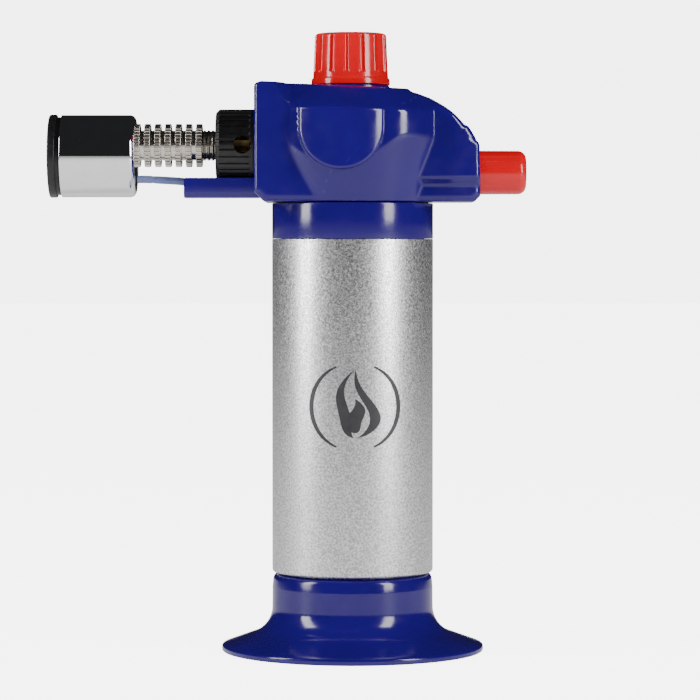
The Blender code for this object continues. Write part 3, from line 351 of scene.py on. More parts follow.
class Finish:
    """A node material being put together: a Principled shader and the nodes that feed it."""

    def __init__(self, name, colour, roughness, metallic=0.0):
        self.material = bpy.data.materials.new(name)
        self.material.use_nodes = True
        self.tree = self.material.node_tree
        self.link = self.tree.links.new
        self.shader = self.tree.nodes["Principled BSDF"]
        set_inputs(self.shader, {"Base Color": (*colour, 1.0), "Roughness": roughness, "Metallic": metallic})
        self.colour = colour
        self.place = add_node(self.tree, "ShaderNodeTexCoord").outputs["Object"]
        self.bump_end = None

    def noise(self, size, detail=3.0, stretch=(1.0, 1.0, 1.0)):
        """Noise whose grain is about `size` metres, stretched along an axis."""
        scale = add_node(self.tree, "ShaderNodeMapping", {"Scale": tuple(s / size for s in stretch)})
        self.link(self.place, scale.inputs["Vector"])
        texture = add_node(self.tree, "ShaderNodeTexNoise", {"Scale": 1.0, "Detail": detail})
        self.link(scale.outputs["Vector"], texture.inputs["Vector"])
        return texture.outputs["Fac"]

    def remap(self, value, low, high, start=0.3, end=0.7):
        """Stretch a value's range from start to end over low to high."""
        ramp = add_node(self.tree, "ShaderNodeMapRange",
                        {"From Min": start, "From Max": end, "To Min": low, "To Max": high})
        self.link(value, ramp.inputs["Value"])
        return ramp.outputs["Result"]

    def vary_colour(self, value, darker, lighter, start=0.3, end=0.7):
        """Mix the base colour between a darker and a lighter share of itself."""
        shades = {"A": (*(c * darker for c in self.colour), 1.0),
                  "B": (*(min(c * lighter, 1.0) for c in self.colour), 1.0)}
        mix = add_node(self.tree, "ShaderNodeMix", shades, data_type="RGBA")
        self.link(self.remap(value, 0.0, 1.0, start, end), mix.inputs["Factor"])
        self.link(mix.outputs["Result"], self.shader.inputs["Base Color"])

    def vary_roughness(self, value, low, high):
        """Let the roughness follow a value between low and high."""
        self.link(self.remap(value, low, high), self.shader.inputs["Roughness"])

    def bump(self, value, depth, strength):
        """Add relief of a depth in metres on top of any earlier relief."""
        relief = add_node(self.tree, "ShaderNodeBump", {"Strength": strength, "Distance": depth})
        self.link(value, relief.inputs["Height"])
        if self.bump_end:
            self.link(self.bump_end, relief.inputs["Normal"])
        self.bump_end = relief.outputs["Normal"]
        self.link(self.bump_end, self.shader.inputs["Normal"])

    def painted_edge_highlight(self, highlight_colour, amount):
        """Painted edge highlight: mix in up to an amount of a lighter colour where the surface turns sharply
        outwards.
        """
        edge = add_node(self.tree, "ShaderNodeNewGeometry").outputs["Pointiness"]
        base = self.shader.inputs["Base Color"].links[0].from_socket
        mix = add_node(self.tree, "ShaderNodeMix", {"B": (*highlight_colour, 1.0)}, data_type="RGBA")
        self.link(base, mix.inputs["A"])
        self.link(self.remap(edge, 0.0, amount, 0.52, 0.60), mix.inputs["Factor"])
        self.link(mix.outputs["Result"], self.shader.inputs["Base Color"])


def moulded_gloss(name, colour):
    """Injection-moulded gloss plastic: faint flow clouds, fine orange peel, hairline scuffs."""
    finish = Finish(name, colour, 0.16)
    finish.vary_colour(finish.noise(22 * MM, 2.0), 0.90, 1.12)
    finish.vary_roughness(finish.noise(5 * MM, 4.0), 0.10, 0.20)
    finish.bump(finish.noise(2.6 * MM, 1.0), 0.010 * MM, 0.6)
    finish.bump(finish.noise(0.25 * MM, 2.0, (1.0, 1.0, 0.12)), 0.002 * MM, 0.5)
    # painted edge highlight: a lighter shade of the plastic's colour along its sharp outward edges
    finish.painted_edge_highlight(tuple(min(c * 1.6 + 0.01, 1.0) for c in colour), 0.35)
    set_inputs(finish.shader, {"IOR": 1.5})
    return finish.material


def moulded_satin(name, colour):
    """Satin black plastic with a fine spark-eroded texture."""
    finish = Finish(name, colour, 0.38)
    finish.vary_colour(finish.noise(9 * MM), 0.8, 1.5)
    finish.vary_roughness(finish.noise(2 * MM), 0.30, 0.48)
    finish.bump(finish.noise(0.22 * MM, 2.0), 0.012 * MM, 0.7)
    # painted edge highlight: grey along the sharp outward edges of the black plastic
    finish.painted_edge_highlight((0.05, 0.05, 0.052), 0.5)
    return finish.material


def blasted_metal(name, colour):
    """Bead-blasted aluminium: bright and dark grains with relief to match, over a coarser ripple."""
    finish = Finish(name, colour, 0.38, 1.0)
    grain = finish.noise(0.55 * MM, 1.0)
    finish.vary_colour(grain, 0.68, 1.24, 0.36, 0.64)
    finish.vary_roughness(finish.noise(0.8 * MM, 2.0), 0.30, 0.46)
    finish.bump(grain, 0.05 * MM, 0.55)
    finish.bump(finish.noise(1.3 * MM, 2.0), 0.05 * MM, 0.25)
    return finish.material


def plated(name, colour, low, high, grain=0.3 * MM, tarnish=0.93):
    """Plated or machined metal: roughness from low to high, fine marks and soft tarnish clouds."""
    finish = Finish(name, colour, low, 1.0)
    finish.vary_colour(finish.noise(4 * MM, 4.0), tarnish, 1.06)
    finish.vary_roughness(finish.noise(2.4 * MM, 3.0), low, high)
    finish.bump(finish.noise(grain, 2.0), 0.004 * MM, 0.4)
    return finish.material


def plain_matt(name, colour, roughness, grain):
    """Dull material such as rubber, ceramic, nylon or ink: clouded tone and a fine tooth."""
    finish = Finish(name, colour, roughness)
    finish.vary_colour(finish.noise(3 * MM, 3.0), 0.85, 1.15)
    finish.vary_roughness(finish.noise(1.2 * MM, 2.0), roughness * 0.85, min(roughness * 1.15, 1.0))
    finish.bump(finish.noise(grain, 2.0), 0.01 * MM, 0.4)
    return finish.material


def clear_sleeve(name, colour):
    """Slightly translucent sleeving with a soft sheen."""
    finish = Finish(name, colour, 0.3)
    finish.vary_colour(finish.noise(3 * MM, 2.0), 0.88, 1.1)
    finish.vary_roughness(finish.noise(1.5 * MM), 0.22, 0.38)
    finish.bump(finish.noise(0.6 * MM, 1.0, (0.1, 1.0, 1.0)), 0.01 * MM, 0.4)
    set_inputs(finish.shader, {"Subsurface Weight": 0.3, "Subsurface Scale": 1.5 * MM})
    return finish.material


# ---- operators: one for each piece or group of like pieces ---------------------------------------
class TORCH_OT_finishes(bpy.types.Operator):
    """Make every finish and give one to each frame node that stays visible."""
    bl_idname = "torch.finishes"
    bl_label = "Finishes"

    def execute(self, context):
        colours = context.scene.torch_colours
        FINISHES.update(
            blue_plastic=moulded_gloss("torch_blue_gloss", colours.blue),
            red_plastic=moulded_gloss("torch_red_gloss", colours.red),
            black_plastic=moulded_satin("torch_black_satin", colours.black),
            tank_aluminium=blasted_metal("torch_blasted_aluminium", colours.tank),
            nickel=plated("torch_nickel", colours.nickel, 0.16, 0.30),
            chrome=plated("torch_chrome", (0.86, 0.86, 0.88), 0.02, 0.05, 2 * MM, tarnish=0.98),
            steel=plated("torch_steel", (0.50, 0.50, 0.51), 0.25, 0.40),
            brass=plated("torch_brass", (0.45, 0.33, 0.14), 0.24, 0.42, tarnish=0.6),
            rubber=plain_matt("torch_rubber", (0.02, 0.02, 0.021), 0.75, 0.3 * MM),
            ceramic=plain_matt("torch_ceramic", (0.80, 0.79, 0.75), 0.35, 0.5 * MM),
            nylon=plain_matt("torch_nylon", (0.62, 0.60, 0.55), 0.45, 0.4 * MM),
            ink=plain_matt("torch_emblem_ink", colours.ink, 0.45, 0.42 * MM),
            sleeve=clear_sleeve("torch_sleeve", (0.17, 0.21, 0.44)))
        slots = {part["node"]: part["material_slot"] for part in frame["record"]["subparts"]}
        for node, piece in frame["nodes"].items():
            piece.data.materials.clear()
            piece.data.materials.append(FINISHES[slots[node]])
        return {"FINISHED"}


class TORCH_OT_stand(bpy.types.Operator):
    """Flared stand: collar, hollow sweep and sloping skirt, open underneath."""
    bl_idname = "torch.stand"
    bl_label = "Stand"

    def execute(self, context):
        rim = half_of("base_stand", X)
        wall = 2.0 * MM
        slope = math.radians(20.0)
        sweep = 9.0 * MM
        thickness = 1.9 * MM
        drop = (rim - TANK_R - sweep * (1.0 - math.sin(slope))) * math.tan(slope)
        centre = np.array((TANK_R + sweep, thickness + drop + sweep * math.cos(slope)))
        a = np.linspace(math.pi, 1.5 * math.pi - slope, 24)
        bend = np.stack([np.cos(a), np.sin(a)], axis=-1)
        edge = fillet([(TANK_R - 2.6 * MM, STAND_TOP, 0.0), (TANK_R - 0.45 * MM, STAND_TOP, 1.9 * MM),
                       (TANK_R - 0.05 * MM, STAND_TOP - 4.2 * MM, 2.5 * MM),
                       (TANK_R, float(centre[1]), 0.0)], 8)[:-1]
        reach = 3.0 * MM
        lip = fillet([(rim - reach, thickness + reach * math.tan(slope), 0.0), (rim, thickness, 0.8 * MM),
                      (rim, 0.0, 0.7 * MM), (rim - 2.1 * MM, 0.0, 0.5 * MM),
                      (rim - 3.2 * MM, thickness * 0.5, 0.0)], 5)
        inner = (centre + bend * (sweep + wall))[::-1]
        floor_top = float(TANK_LOW[Z]) - GAP
        floor_low = float(centre[1]) + 0.8 * MM
        opening = 11.0 * MM
        socket = NECK_R + GAP
        inside = [(TANK_R - wall, floor_low), (opening, floor_low), (opening, floor_top),
                  (socket, floor_top), (socket, STAND_TOP)]
        outline = np.vstack([edge, centre + bend * sweep, lip, inner, inside])
        turned("stand", outline, AXIS, "up", 200, "torch", "blue_plastic", ("base_stand",))
        return {"FINISHED"}


class TORCH_OT_tank(bpy.types.Operator):
    """Blasted tank with a rounded lower edge and reduced ends, and the ring above it."""
    bl_idname = "torch.tank"
    bl_label = "Tank and neck ring"

    def execute(self, context):
        bottom = STAND_TOP + GAP
        ring_low, ring_high = (float(corner[Z]) for corner in span("neck_ring"))
        top = ring_low - 0.06 * MM
        low, high = float(TANK_LOW[Z]), float(TANK_HIGH[Z])
        wall = 1.2 * MM
        bore = NECK_R - wall
        body = TANK_R - 2 * wall
        hole = 4.5 * MM
        outline = fillet([(NECK_R, high, 0.3 * MM), (NECK_R, top, 0.3 * MM), (TANK_R, top, 0.25 * MM),
                          (TANK_R, bottom, 1.1 * MM), (NECK_R, bottom, 0.3 * MM), (NECK_R, low, 0.8 * MM),
                          (hole, low, 0.0), (hole, low + wall, 0.0), (bore, low + wall, 0.5 * MM),
                          (bore, bottom + wall, 0.0), (body, bottom + wall, 0.0), (body, top - wall, 0.0),
                          (bore, top - wall, 0.0), (bore, high, 0.2 * MM)], 5)
        turned("tank", outline, AXIS, "up", 240, "torch", "tank_aluminium", ("tank_shell",))
        web = 13.0 * MM
        ring = fillet([(web, ring_high, 0.0), (TANK_R, ring_high, 0.3 * MM), (TANK_R, ring_low, 0.15 * MM),
                       (NECK_R + GAP, ring_low, 0.0), (NECK_R + GAP, high + GAP, 0.0),
                       (web, high + GAP, 0.0)], 5)
        turned("neck_band", ring, AXIS, "up", 200, "torch", "blue_plastic", ("neck_ring",))
        return {"FINISHED"}


# ---- head: lengths in millimetres, x counted from the tank's axis ----------------------------------
HEAD_CENTRE = np.array((4.0, 0.0, 157.5))           # where the rays to the surface start
HEAD_FRONT, HEAD_REAR, HEAD_FOOT = -30.0, 39.2, 139.4
DECK_FRONT, DECK_TOP, DECK_SLOPE = -28.0, 176.0, 2.2 / 46.5
BROW, CHIN, HEEL = (-30.0, 174.9), (-28.6, 140.9), (37.6, 139.6)    # a point (x, z) on each bevel
DOME_X, DOME_Z, DOME_R = 11.8, 146.6, 27.0          # long curve down to the button
RIB_R, RIB_FOOT, RIB_TOP = 27.7, 158.2, 162.8       # raised band on that curve
SHROUD_X, SHROUD_Z = 38.6, 157.6                    # short roof over the button
FRONT_HALF, TAIL_HALF = 22.6, 17.7                  # half widths of the two end blocks
BULGE_X, BULGE_HALF = 3.5, 28.2                     # where the middle is widest
SHOULDER_Z, SHOULDER_FALL = 167.5, 0.02             # edge between the sides and the deck
SKIRT_R, SKIRT_Z, SKIRT_FLARE = 25.0, 140.7, 0.30   # cone that flares up from the neck
BOSS_X, BOSS_Z, BOSS_R, BOSS_RISE = -3.5, 162.0, 12.9, 2.9          # round-bottomed side bosses
SEAT_X, SEAT_R, SEAT_FOOT, SEAT_TOP = -0.6, 12.1, 170.0, 175.45     # ring under the knob
DIAGONAL = 0.7071
FAR_INSIDE = -30.0                                  # stands for a side that isn't there


def rounded_max(distances, radius):
    """Intersection of solids given by their distances, with edges rounded to a radius.

    Where several distances are above minus the radius, their excesses add like a vector's parts.
    """
    stack = np.stack(distances)
    inside = np.minimum(stack.max(axis=0), -radius)
    return inside + np.sqrt((np.maximum(stack + radius, 0.0) ** 2).sum(axis=0))


def soft_min(a, b, width):
    """Union of two solids with the joint softened over a width."""
    h = np.clip(0.5 + 0.5 * (b - a) / width, 0.0, 1.0)
    return b + (a - b) * h - width * h * (1.0 - h)


def side_profile_distance(x, z):
    """Distance to the head's side outline: front face, sloping deck, long rear curve, rear face.

    Straight sides and bevels are half planes.  The rear curve is a circle, slightly stretched along
    X, joined to its rib and to the shroud; it counts only behind and above its own centre.
    """
    deck = (z - (DECK_TOP - DECK_SLOPE * (x - DECK_FRONT))) * 0.999
    front = HEAD_FRONT - x
    rear = x - HEAD_REAR
    foot = HEAD_FOOT - z
    brow = ((z - BROW[1]) - (x - BROW[0])) * DIAGONAL
    chin = (-(x - CHIN[0]) - (z - CHIN[1])) * DIAGONAL
    heel = ((x - HEEL[0]) - (z - HEEL[1])) * 0.62
    reach = np.hypot((x - DOME_X) / 1.04, z - DOME_Z)
    rib = rounded_max([reach - RIB_R, RIB_FOOT - z, z - RIB_TOP], 0.6)
    shroud = rounded_max([rear, (z - SHROUD_Z) * 0.8 + (x - SHROUD_X) * 0.6], 0.9)
    dome = np.minimum(np.minimum(reach - DOME_R, rib), shroud)
    dome = np.where((x > DOME_X) & (z > DOME_Z), dome, FAR_INSIDE)
    hard = np.maximum.reduce([front, brow, foot, chin, rear, heel])
    return rounded_max([hard, np.maximum(deck, dome)], 1.0)


def half_width(x, z):
    """Half width of the two end blocks: wide in front, narrow behind, narrower low at the rear."""
    tail = TAIL_HALF - 1.5 * step(x, 30.0, 39.0)
    tuck = 2.4 * (1.0 - step(z, 144.2, 147.0)) * step(x, 16.0, 20.0)
    return FRONT_HALF + (tail - tuck - FRONT_HALF) * step(x, 2.0, 18.0)


def head_distance(p):
    """Distance-like value of the head, negative inside, for points in millimetres.

    Two end blocks and a bulging middle share the side outline.  The middle's half width falls with
    the square of the distance from its widest place, and low down it is cut by the skirt's cone.
    A boss is a disc with straight sides above its centre, under a face that falls the same way.
    """
    x, y, z = p[..., 0], np.abs(p[..., 1]), p[..., 2]
    outline = side_profile_distance(x, z)
    half = half_width(x, z)
    shoulder_line = SHOULDER_Z - SHOULDER_FALL * (x - 3.0)
    begun = step(x, -21.2, -19.6)
    block_shoulder = (y - (half - 0.4)) * 0.70 + (z - shoulder_line - 1.2) * 0.71
    block_shoulder = np.where(begun > 0.0, block_shoulder - (1.0 - begun) * 4.0, FAR_INSIDE)
    blocks = rounded_max([outline, y - half, block_shoulder], 1.6)

    bulge = BULGE_HALF - (x - BULGE_X) ** 2 / 94.0 - 0.035 * np.maximum(x - 12.0, 0.0) ** 2
    shoulder = (y - bulge) * 0.62 + (z - shoulder_line) * 0.78
    skirt = (np.hypot(x, y) - (SKIRT_R + SKIRT_FLARE * (z - SKIRT_Z))) * 0.95
    middle = rounded_max([outline, (y - bulge) * 0.96, shoulder, x - 26.0], 0.9)
    middle = rounded_max([middle, skirt], 0.35)

    along = x - BOSS_X
    disc = np.hypot(along, np.maximum(BOSS_Z - z, 0.0)) - BOSS_R
    face = bulge + BOSS_RISE - np.maximum(along, 0.0) ** 2 / 62.0 - np.minimum(along, 0.0) ** 2 / 160.0
    chamfer = (y - face) * 0.5 + (z - shoulder_line) * 0.8
    boss = rounded_max([disc, (y - face) * 0.9, chamfer, outline], 0.6)

    seat = rounded_max([np.hypot(x - SEAT_X, y) - SEAT_R, z - SEAT_TOP, SEAT_FOOT - z], 0.2)
    return np.minimum(soft_min(soft_min(blocks, middle, 0.5), boss, 0.3), seat)


class TORCH_OT_head(bpy.types.Operator):
    """Head in two moulded halves, each a shell that meets the other in the middle plane."""
    bl_idname = "torch.head"
    bl_label = "Head halves"

    def execute(self, context):
        for side, word in ((-1.0, "left"), (1.0, "right")):
            self.half(f"head_{word}", side, f"head_half_{word}")
        return {"FINISHED"}

    def half(self, name, side, node):
        """Rays from inside the head stop at its surface, which halving their lengths finds.

        A ray leans from the side's pole by one angle, up to the middle plane, and turns round Y by
        the other.
        """
        rows, columns = 120, 380
        longest, halvings = 70.0, 26
        lean = np.linspace(0.0, 0.5 * math.pi, rows + 1)[1:, None]
        turn = (np.arange(columns) * TAU / columns)[None, :]
        ray = np.stack([np.sin(lean) * np.cos(turn), side * np.cos(lean) + 0.0 * turn,
                        np.sin(lean) * np.sin(turn)], axis=-1)
        pole = np.array((0.0, side, 0.0))
        rays = np.vstack([ray.reshape(-1, 3), pole])
        near = np.zeros(len(rays))
        far = np.full(len(rays), longest)
        for _ in range(halvings):
            middle = (near + far) / 2.0
            outside = head_distance(HEAD_CENTRE + rays * middle[:, None]) > 0.0
            far = np.where(outside, middle, far)
            near = np.where(outside, near, middle)
        points = HEAD_CENTRE + rays * near[:, None]
        seam = 0.06
        points[:, 1] = np.where(np.abs(points[:, 1]) < seam, side * seam, points[:, 1])
        points = points * MM + np.array(AXIS)
        here = np.arange(columns)
        tip = np.full(columns, rows * columns)
        cap = np.stack([here, (here + 1) % columns, tip, tip], axis=-1)
        faces = np.vstack([grid_faces(rows, columns, False, True), cap])
        piece = add_mesh(name, points, self.outward(points, faces), "torch", "blue_plastic", (node,))
        wall = piece.modifiers.new("wall", "SOLIDIFY")
        wall.thickness = 1.2 * MM
        wall.offset = -1.0
        self.openings(piece, side)

    def outward(self, points, faces):
        """Turn every face away from the head's inside."""
        corner = points[faces[:, 0]]
        normal = np.cross(points[faces[:, 1]] - corner, points[faces[:, 2]] - corner)
        inside = HEAD_CENTRE * MM + np.array(AXIS)
        return faces if np.einsum("ij,ij->i", normal, corner - inside).sum() > 0.0 else faces[:, ::-1]

    def openings(self, piece, side):
        """Holes for the spindle, the mixer tube and the button, and a well over each screw."""
        front, rear = AXIS_X + HEAD_FRONT * MM, AXIS_X + HEAD_REAR * MM
        deck = float(KNOB_LOW[Z])
        spindle, mixer, button, screw = 3.2 * MM, 9.2 * MM, 7.1 * MM, 3.0 * MM
        bore_hole(piece, spindle, (KNOB_X, 0.0, deck - 6 * MM), (KNOB_X, 0.0, deck + MM))
        bore_hole(piece, mixer, (front - MM, 0.0, BURNER_Z), (front + 3 * MM, 0.0, BURNER_Z))
        bore_hole(piece, button, (rear - 4 * MM, 0.0, BUTTON_Z), (rear + MM, 0.0, BUTTON_Z))
        for number in (1, 2, 3) if side > 0.0 else ():
            node = f"housing_screw_{number}"
            x, z = middle_of(node, X), middle_of(node, Z)
            bottom = span(node)[1][Y] - 1.7 * MM
            bore_hole(piece, screw, (x, bottom, z), (x, 34 * MM, z))


class TORCH_OT_shelf(bpy.types.Operator):
    """Shelf under the air collar: a trough section carried along X, rounded at its front end."""
    bl_idname = "torch.shelf"
    bl_label = "Lead shelf"

    def execute(self, context):
        low, bed, brink, high = 140.7 * MM, 142.1 * MM, 145.4 * MM, 146.9 * MM
        half, shoulder, slot = 7.5 * MM, 5.4 * MM, 1.8 * MM
        soft = 0.2 * MM
        section = fillet([(-half, high, 0.6 * MM), (-half, low, 1.8 * MM), (half, low, 1.8 * MM),
                          (half, high, 0.6 * MM), (shoulder, high, soft), (slot, brink, soft),
                          (slot, bed, soft), (-slot, bed, soft), (-slot, brink, soft),
                          (-shoulder, high, soft)], 5)
        front = float(span("head_half_left")[0][X])
        rear = AXIS_X - 29.0 * MM
        x = np.array((front, front, front + 0.15 * MM, front + 0.5 * MM, rear, rear))
        shrink = np.array((0.0, 0.94, 0.985, 1.0, 1.0, 0.0))[:, None]
        middle = (low + bed) / 2.0
        y = section[None, :, 0] * shrink
        z = middle + (section[None, :, 1] - middle) * shrink
        points = np.stack([np.broadcast_to(x[:, None], y.shape), y, z], axis=-1)
        add_mesh("lead_shelf", points.reshape(-1, 3), grid_faces(len(x), len(section), False, True),
                 "torch", "blue_plastic")
        return {"FINISHED"}


class TORCH_OT_knob(bpy.types.Operator):
    """Flow knob: a slightly tapered cap with a lip and round-bottomed grip grooves."""
    bl_idname = "torch.knob"
    bl_label = "Flow knob"

    def execute(self, context):
        sizes = context.scene.torch_sizes
        height = float(KNOB_HIGH[Z] - KNOB_LOW[Z])
        lip = half_of("flow_knob", X)
        lower, upper = 11.65 * MM, 11.05 * MM
        wall = 1.6 * MM
        ceiling = height - 2.2 * MM
        hub, hub_foot = 4.6 * MM, 1.0 * MM
        bore, bore_end = 2.9 * MM, height - 3.1 * MM
        corners = [(0.0, height, 0.0), (5.0 * MM, height - 0.05 * MM, 0.0),
                   (upper, height - 0.35 * MM, 1.0 * MM), (lower, 2.3 * MM, 0.25 * MM),
                   (lip - 0.1 * MM, 1.9 * MM, 0.25 * MM), (lip, 0.0, 0.35 * MM),
                   (lip - wall, 0.0, 0.2 * MM), (upper - wall, ceiling, 0.0), (hub, ceiling, 0.0),
                   (hub, hub_foot, 0.0), (bore, hub_foot, 0.0), (bore, bore_end, 0.0), (0.0, bore_end, 0.0)]
        outline = refine(fillet(corners, 6), 0.4 * MM)
        depth, count = sizes.groove_depth, sizes.grooves
        groove_foot, groove_half = 3.6 * MM, 0.85 * MM

        def grooved(r, h, a):
            """Take a round-bottomed groove with a round lower end out of the knob's outer wall."""
            across = np.abs(((a * count / TAU + 0.5) % 1.0) - 0.5) * TAU * lower / count
            below = np.maximum(groove_foot + groove_half - h, 0.0)
            bowl = np.sqrt(np.maximum(1.0 - (np.hypot(across, below) / groove_half) ** 2, 0.0))
            outer = step(r, upper - 1.6 * MM, upper - 1.0 * MM)
            return r - depth * bowl * outer * (h > groove_foot)

        turned("knob", outline, (KNOB_X, 0.0, float(KNOB_LOW[Z])), "up", count * 24,
               "knob", "red_plastic", ("flow_knob",), grooved)
        return {"FINISHED"}


class TORCH_OT_button(bpy.types.Operator):
    """Ignition button: hollow, round-ended, with a flange behind the housing wall."""
    bl_idname = "torch.button"
    bl_label = "Ignition button"

    def execute(self, context):
        length = float(BUTTON_HIGH[X] - BUTTON_LOW[X])
        flange, flange_top = BUTTON_R + 0.2 * MM, 1.5 * MM
        bore, bore_end = 5.6 * MM, length - 2.0 * MM
        stem, stem_foot = 2.5 * MM, length - 14.5 * MM
        corners = [(0.0, length, 0.0), (BUTTON_R - 0.05 * MM, length - 0.25 * MM, 2.6 * MM),
                   (BUTTON_R, flange_top, 0.0), (flange, flange_top, 0.0), (flange, 0.0, 0.0),
                   (bore, 0.0, 0.0), (bore, bore_end, 0.0), (stem, bore_end, 0.0), (stem, stem_foot, 0.0),
                   (0.0, stem_foot, 0.0)]
        turned("button", fillet(corners, 10), (float(BUTTON_LOW[X]), 0.0, BUTTON_Z), "rearward", 120,
               "button", "red_plastic", ("ignition_button",))
        return {"FINISHED"}


class TORCH_OT_collar(bpy.types.Operator):
    """Air collar: ribs along X that fade into a plain band at the housing, and one air hole."""
    bl_idname = "torch.collar"
    bl_label = "Air collar"

    def execute(self, context):
        sizes = context.scene.torch_sizes
        radius = half_of("air_collar", Z)
        length = float(COLLAR_HIGH[X] - COLLAR_LOW[X])
        bore, wall, chamfer = 5.15 * MM, 2.0 * MM, 1.1 * MM
        inside = length - 1.5 * MM
        corners = [(bore, length, 0.2 * MM), (radius - chamfer, length, 0.25 * MM),
                   (radius, length - chamfer, 0.25 * MM), (radius, 0.0, 0.2 * MM),
                   (radius - wall, 0.0, 0.0), (radius - wall, inside, 0.0), (bore, inside, 0.0)]
        outline = refine(fillet(corners, 4), 0.5 * MM)
        depth, count = sizes.rib_depth, sizes.ribs

        def ribbed(r, h, a):
            """Sink the stretches between the ribs: a cosine round the axis, cut to soft steps."""
            groove = step(0.5 + 0.5 * np.cos(a * count), 0.45, 0.75)
            along = step(h, 1.2 * MM, 1.7 * MM)
            outer = step(r, radius - wall, radius - 1.2 * MM)
            return r - depth * groove * along * outer

        piece = turned("collar", outline, (float(COLLAR_HIGH[X]), 0.0, BURNER_Z), "forward", count * 16,
                       "collar", "black_plastic", ("air_collar",), ribbed)
        hole_x, hole_r = AXIS_X - 33.9 * MM, 2.8 * MM
        bore_hole(piece, hole_r, (hole_x, -radius - MM, BURNER_Z), (hole_x, -radius + 4 * MM, BURNER_Z))
        return {"FINISHED"}


class TORCH_OT_burner_tube(bpy.types.Operator):
    """Nickel-plated burner tube: thread, seven straight-knurled cooling fins and a plain front."""
    bl_idname = "torch.burner_tube"
    bl_label = "Finned burner tube"

    def execute(self, context):
        sizes = context.scene.torch_sizes
        low, high = span("burner_tube")
        rear = float(high[X])
        length = rear - float(low[X])
        fin_r = half_of("burner_tube", Z)
        tube_r, bore, root_r, crest_r = 4.6 * MM, 3.6 * MM, 4.3 * MM, 4.85 * MM
        fins, half, pitch = 7, 0.95 * MM, 3.2 * MM
        rear_fin = rear - (AXIS_X - 47.5 * MM)
        corners = [(bore, length, 0.0), (tube_r, length, 0.2 * MM)]
        for number in reversed(range(fins)):
            h = rear_fin + number * pitch
            corners += [(tube_r, h + half, 0.0), (fin_r, h + half, 0.22 * MM), (fin_r, h - half, 0.22 * MM),
                        (tube_r if number else root_r, h - half, 0.0)]
        root = rear_fin - half
        thread = 1.3 * MM
        while root > 0.6 * thread:
            corners += [(crest_r, root - 0.5 * thread, 0.12 * MM), (root_r, root - thread, 0.0)]
            root -= thread
        corners[-1] = (root_r, 0.0, 0.0)
        corners += [(bore, 0.0, 0.0)]
        count, depth = sizes.teeth, sizes.tooth_depth

        def knurled(r, h, a):
            """Sink the gaps between the teeth: a triangle wave round the axis, cut to soft steps."""
            wave = np.abs(((a * count / TAU) % 1.0) - 0.5) * 2.0
            return r - depth * step(wave, 0.35, 0.85) * step(r, tube_r + 0.5 * MM, fin_r - 0.3 * MM)

        turned("finned_tube", refine(fillet(corners, 3), 0.7 * MM), (rear, 0.0, BURNER_Z), "forward",
               count * 12, "torch", "nickel", ("burner_tube",), knurled)
        return {"FINISHED"}


class TORCH_OT_barrel(bpy.types.Operator):
    """Chromed barrel with a softly rounded rear edge, and the black ring in its mouth."""
    bl_idname = "torch.barrel"
    bl_label = "Barrel and ring"

    def execute(self, context):
        radius = half_of("barrel", Z)
        rear = float(BARREL_HIGH[X])
        length = rear - float(BARREL_LOW[X])
        wall, opening = 0.8 * MM, 9.0 * MM
        corners = [(radius - wall, length, 0.2 * MM), (radius, length, 0.25 * MM), (radius, 0.0, 1.9 * MM),
                   (opening, 0.0, 0.0), (opening, wall, 0.0), (radius - wall, wall, 1.1 * MM)]
        turned("barrel_tube", fillet(corners, 10), (rear, 0.0, BARREL_Z), "forward", 200,
               "torch", "chrome", ("barrel",))
        self.rear_wall(rear, wall, opening + 0.1 * MM)
        self.mouth_ring(radius - wall - GAP)
        return {"FINISHED"}

    def mouth_ring(self, sleeve):
        """Ring with a band in front, a groove behind it and a sleeve that goes into the barrel."""
        low, high = span("barrel_rim")
        radius = half_of("barrel_rim", Z)
        length = float(high[X] - low[X])
        bore, groove = 10.6 * MM, 12.1 * MM
        band = length - 2.3 * MM
        foot = length - (float(BARREL_LOW[X]) - GAP - float(low[X]))
        ring = [(bore, length, 0.6 * MM), (radius, length, 0.5 * MM), (radius, band, 0.3 * MM),
                (groove, band, 0.0), (groove, foot, 0.0), (sleeve, foot, 0.0), (sleeve, 0.0, 0.0),
                (bore, 0.0, 0.3 * MM)]
        turned("mouth_ring", fillet(ring, 5), (float(high[X]), 0.0, BARREL_Z), "forward", 180, "torch",
               "black_plastic", ("barrel_rim",))

    def rear_wall(self, rear, wall, radius):
        """Disc between the barrel's edge and the off-centre hole that the finned tube passes through."""
        count, hole = 96, 4.9 * MM
        a = np.arange(count) * TAU / count
        outer = np.stack([radius * np.sin(a), BARREL_Z + radius * np.cos(a)], axis=-1)
        inner = np.stack([hole * np.sin(a), BURNER_Z + hole * np.cos(a)], axis=-1)
        y, z = np.moveaxis(np.stack([outer, inner, inner, outer]), -1, 0)
        x = np.array((rear - 0.1 * MM, rear - 0.1 * MM, rear - wall, rear - wall))[:, None] + 0.0 * y
        points = np.stack([x, y, z], axis=-1).reshape(-1, 3)
        add_mesh("barrel_back", points, grid_faces(4, count, True, True), "torch", "chrome")


class TORCH_OT_lead(bpy.types.Operator):
    """Sleeved ignition lead along its clipped route, with a small joint before the barrel."""
    bl_idname = "torch.lead"
    bl_label = "Ignition lead"

    def execute(self, context):
        trough = 143.6
        route = [(7.7, -3.2, 148.6), (6.4, -3.2, 148.6), (4.6, -5.2, 148.5), (1.2, -8.8, 147.6),
                 (-5.0, -9.0, 146.0), (-14.0, -4.0, 144.6), (-22.0, -0.6, trough), (-30.0, 0.0, trough),
                 (-42.0, 0.0, trough), (-51.0, 0.0, 145.6), (-60.0, 0.0, 146.3), (-64.1, 0.0, 146.5),
                 (-66.8, 0.0, 146.5)]
        points = smooth_route(np.array(route) * MM, 8) + np.array(AXIS)
        radius, dent = 1.2 * MM, 0.12 * MM
        joint_x, joint_half = AXIS_X - 61.8 * MM, 0.5 * MM
        joint = np.exp(-((points[:, 0] - joint_x) / joint_half) ** 2)
        tube("lead", points, radius - dent * joint, 20, "torch", "sleeve", ("ignition_lead",))
        return {"FINISHED"}


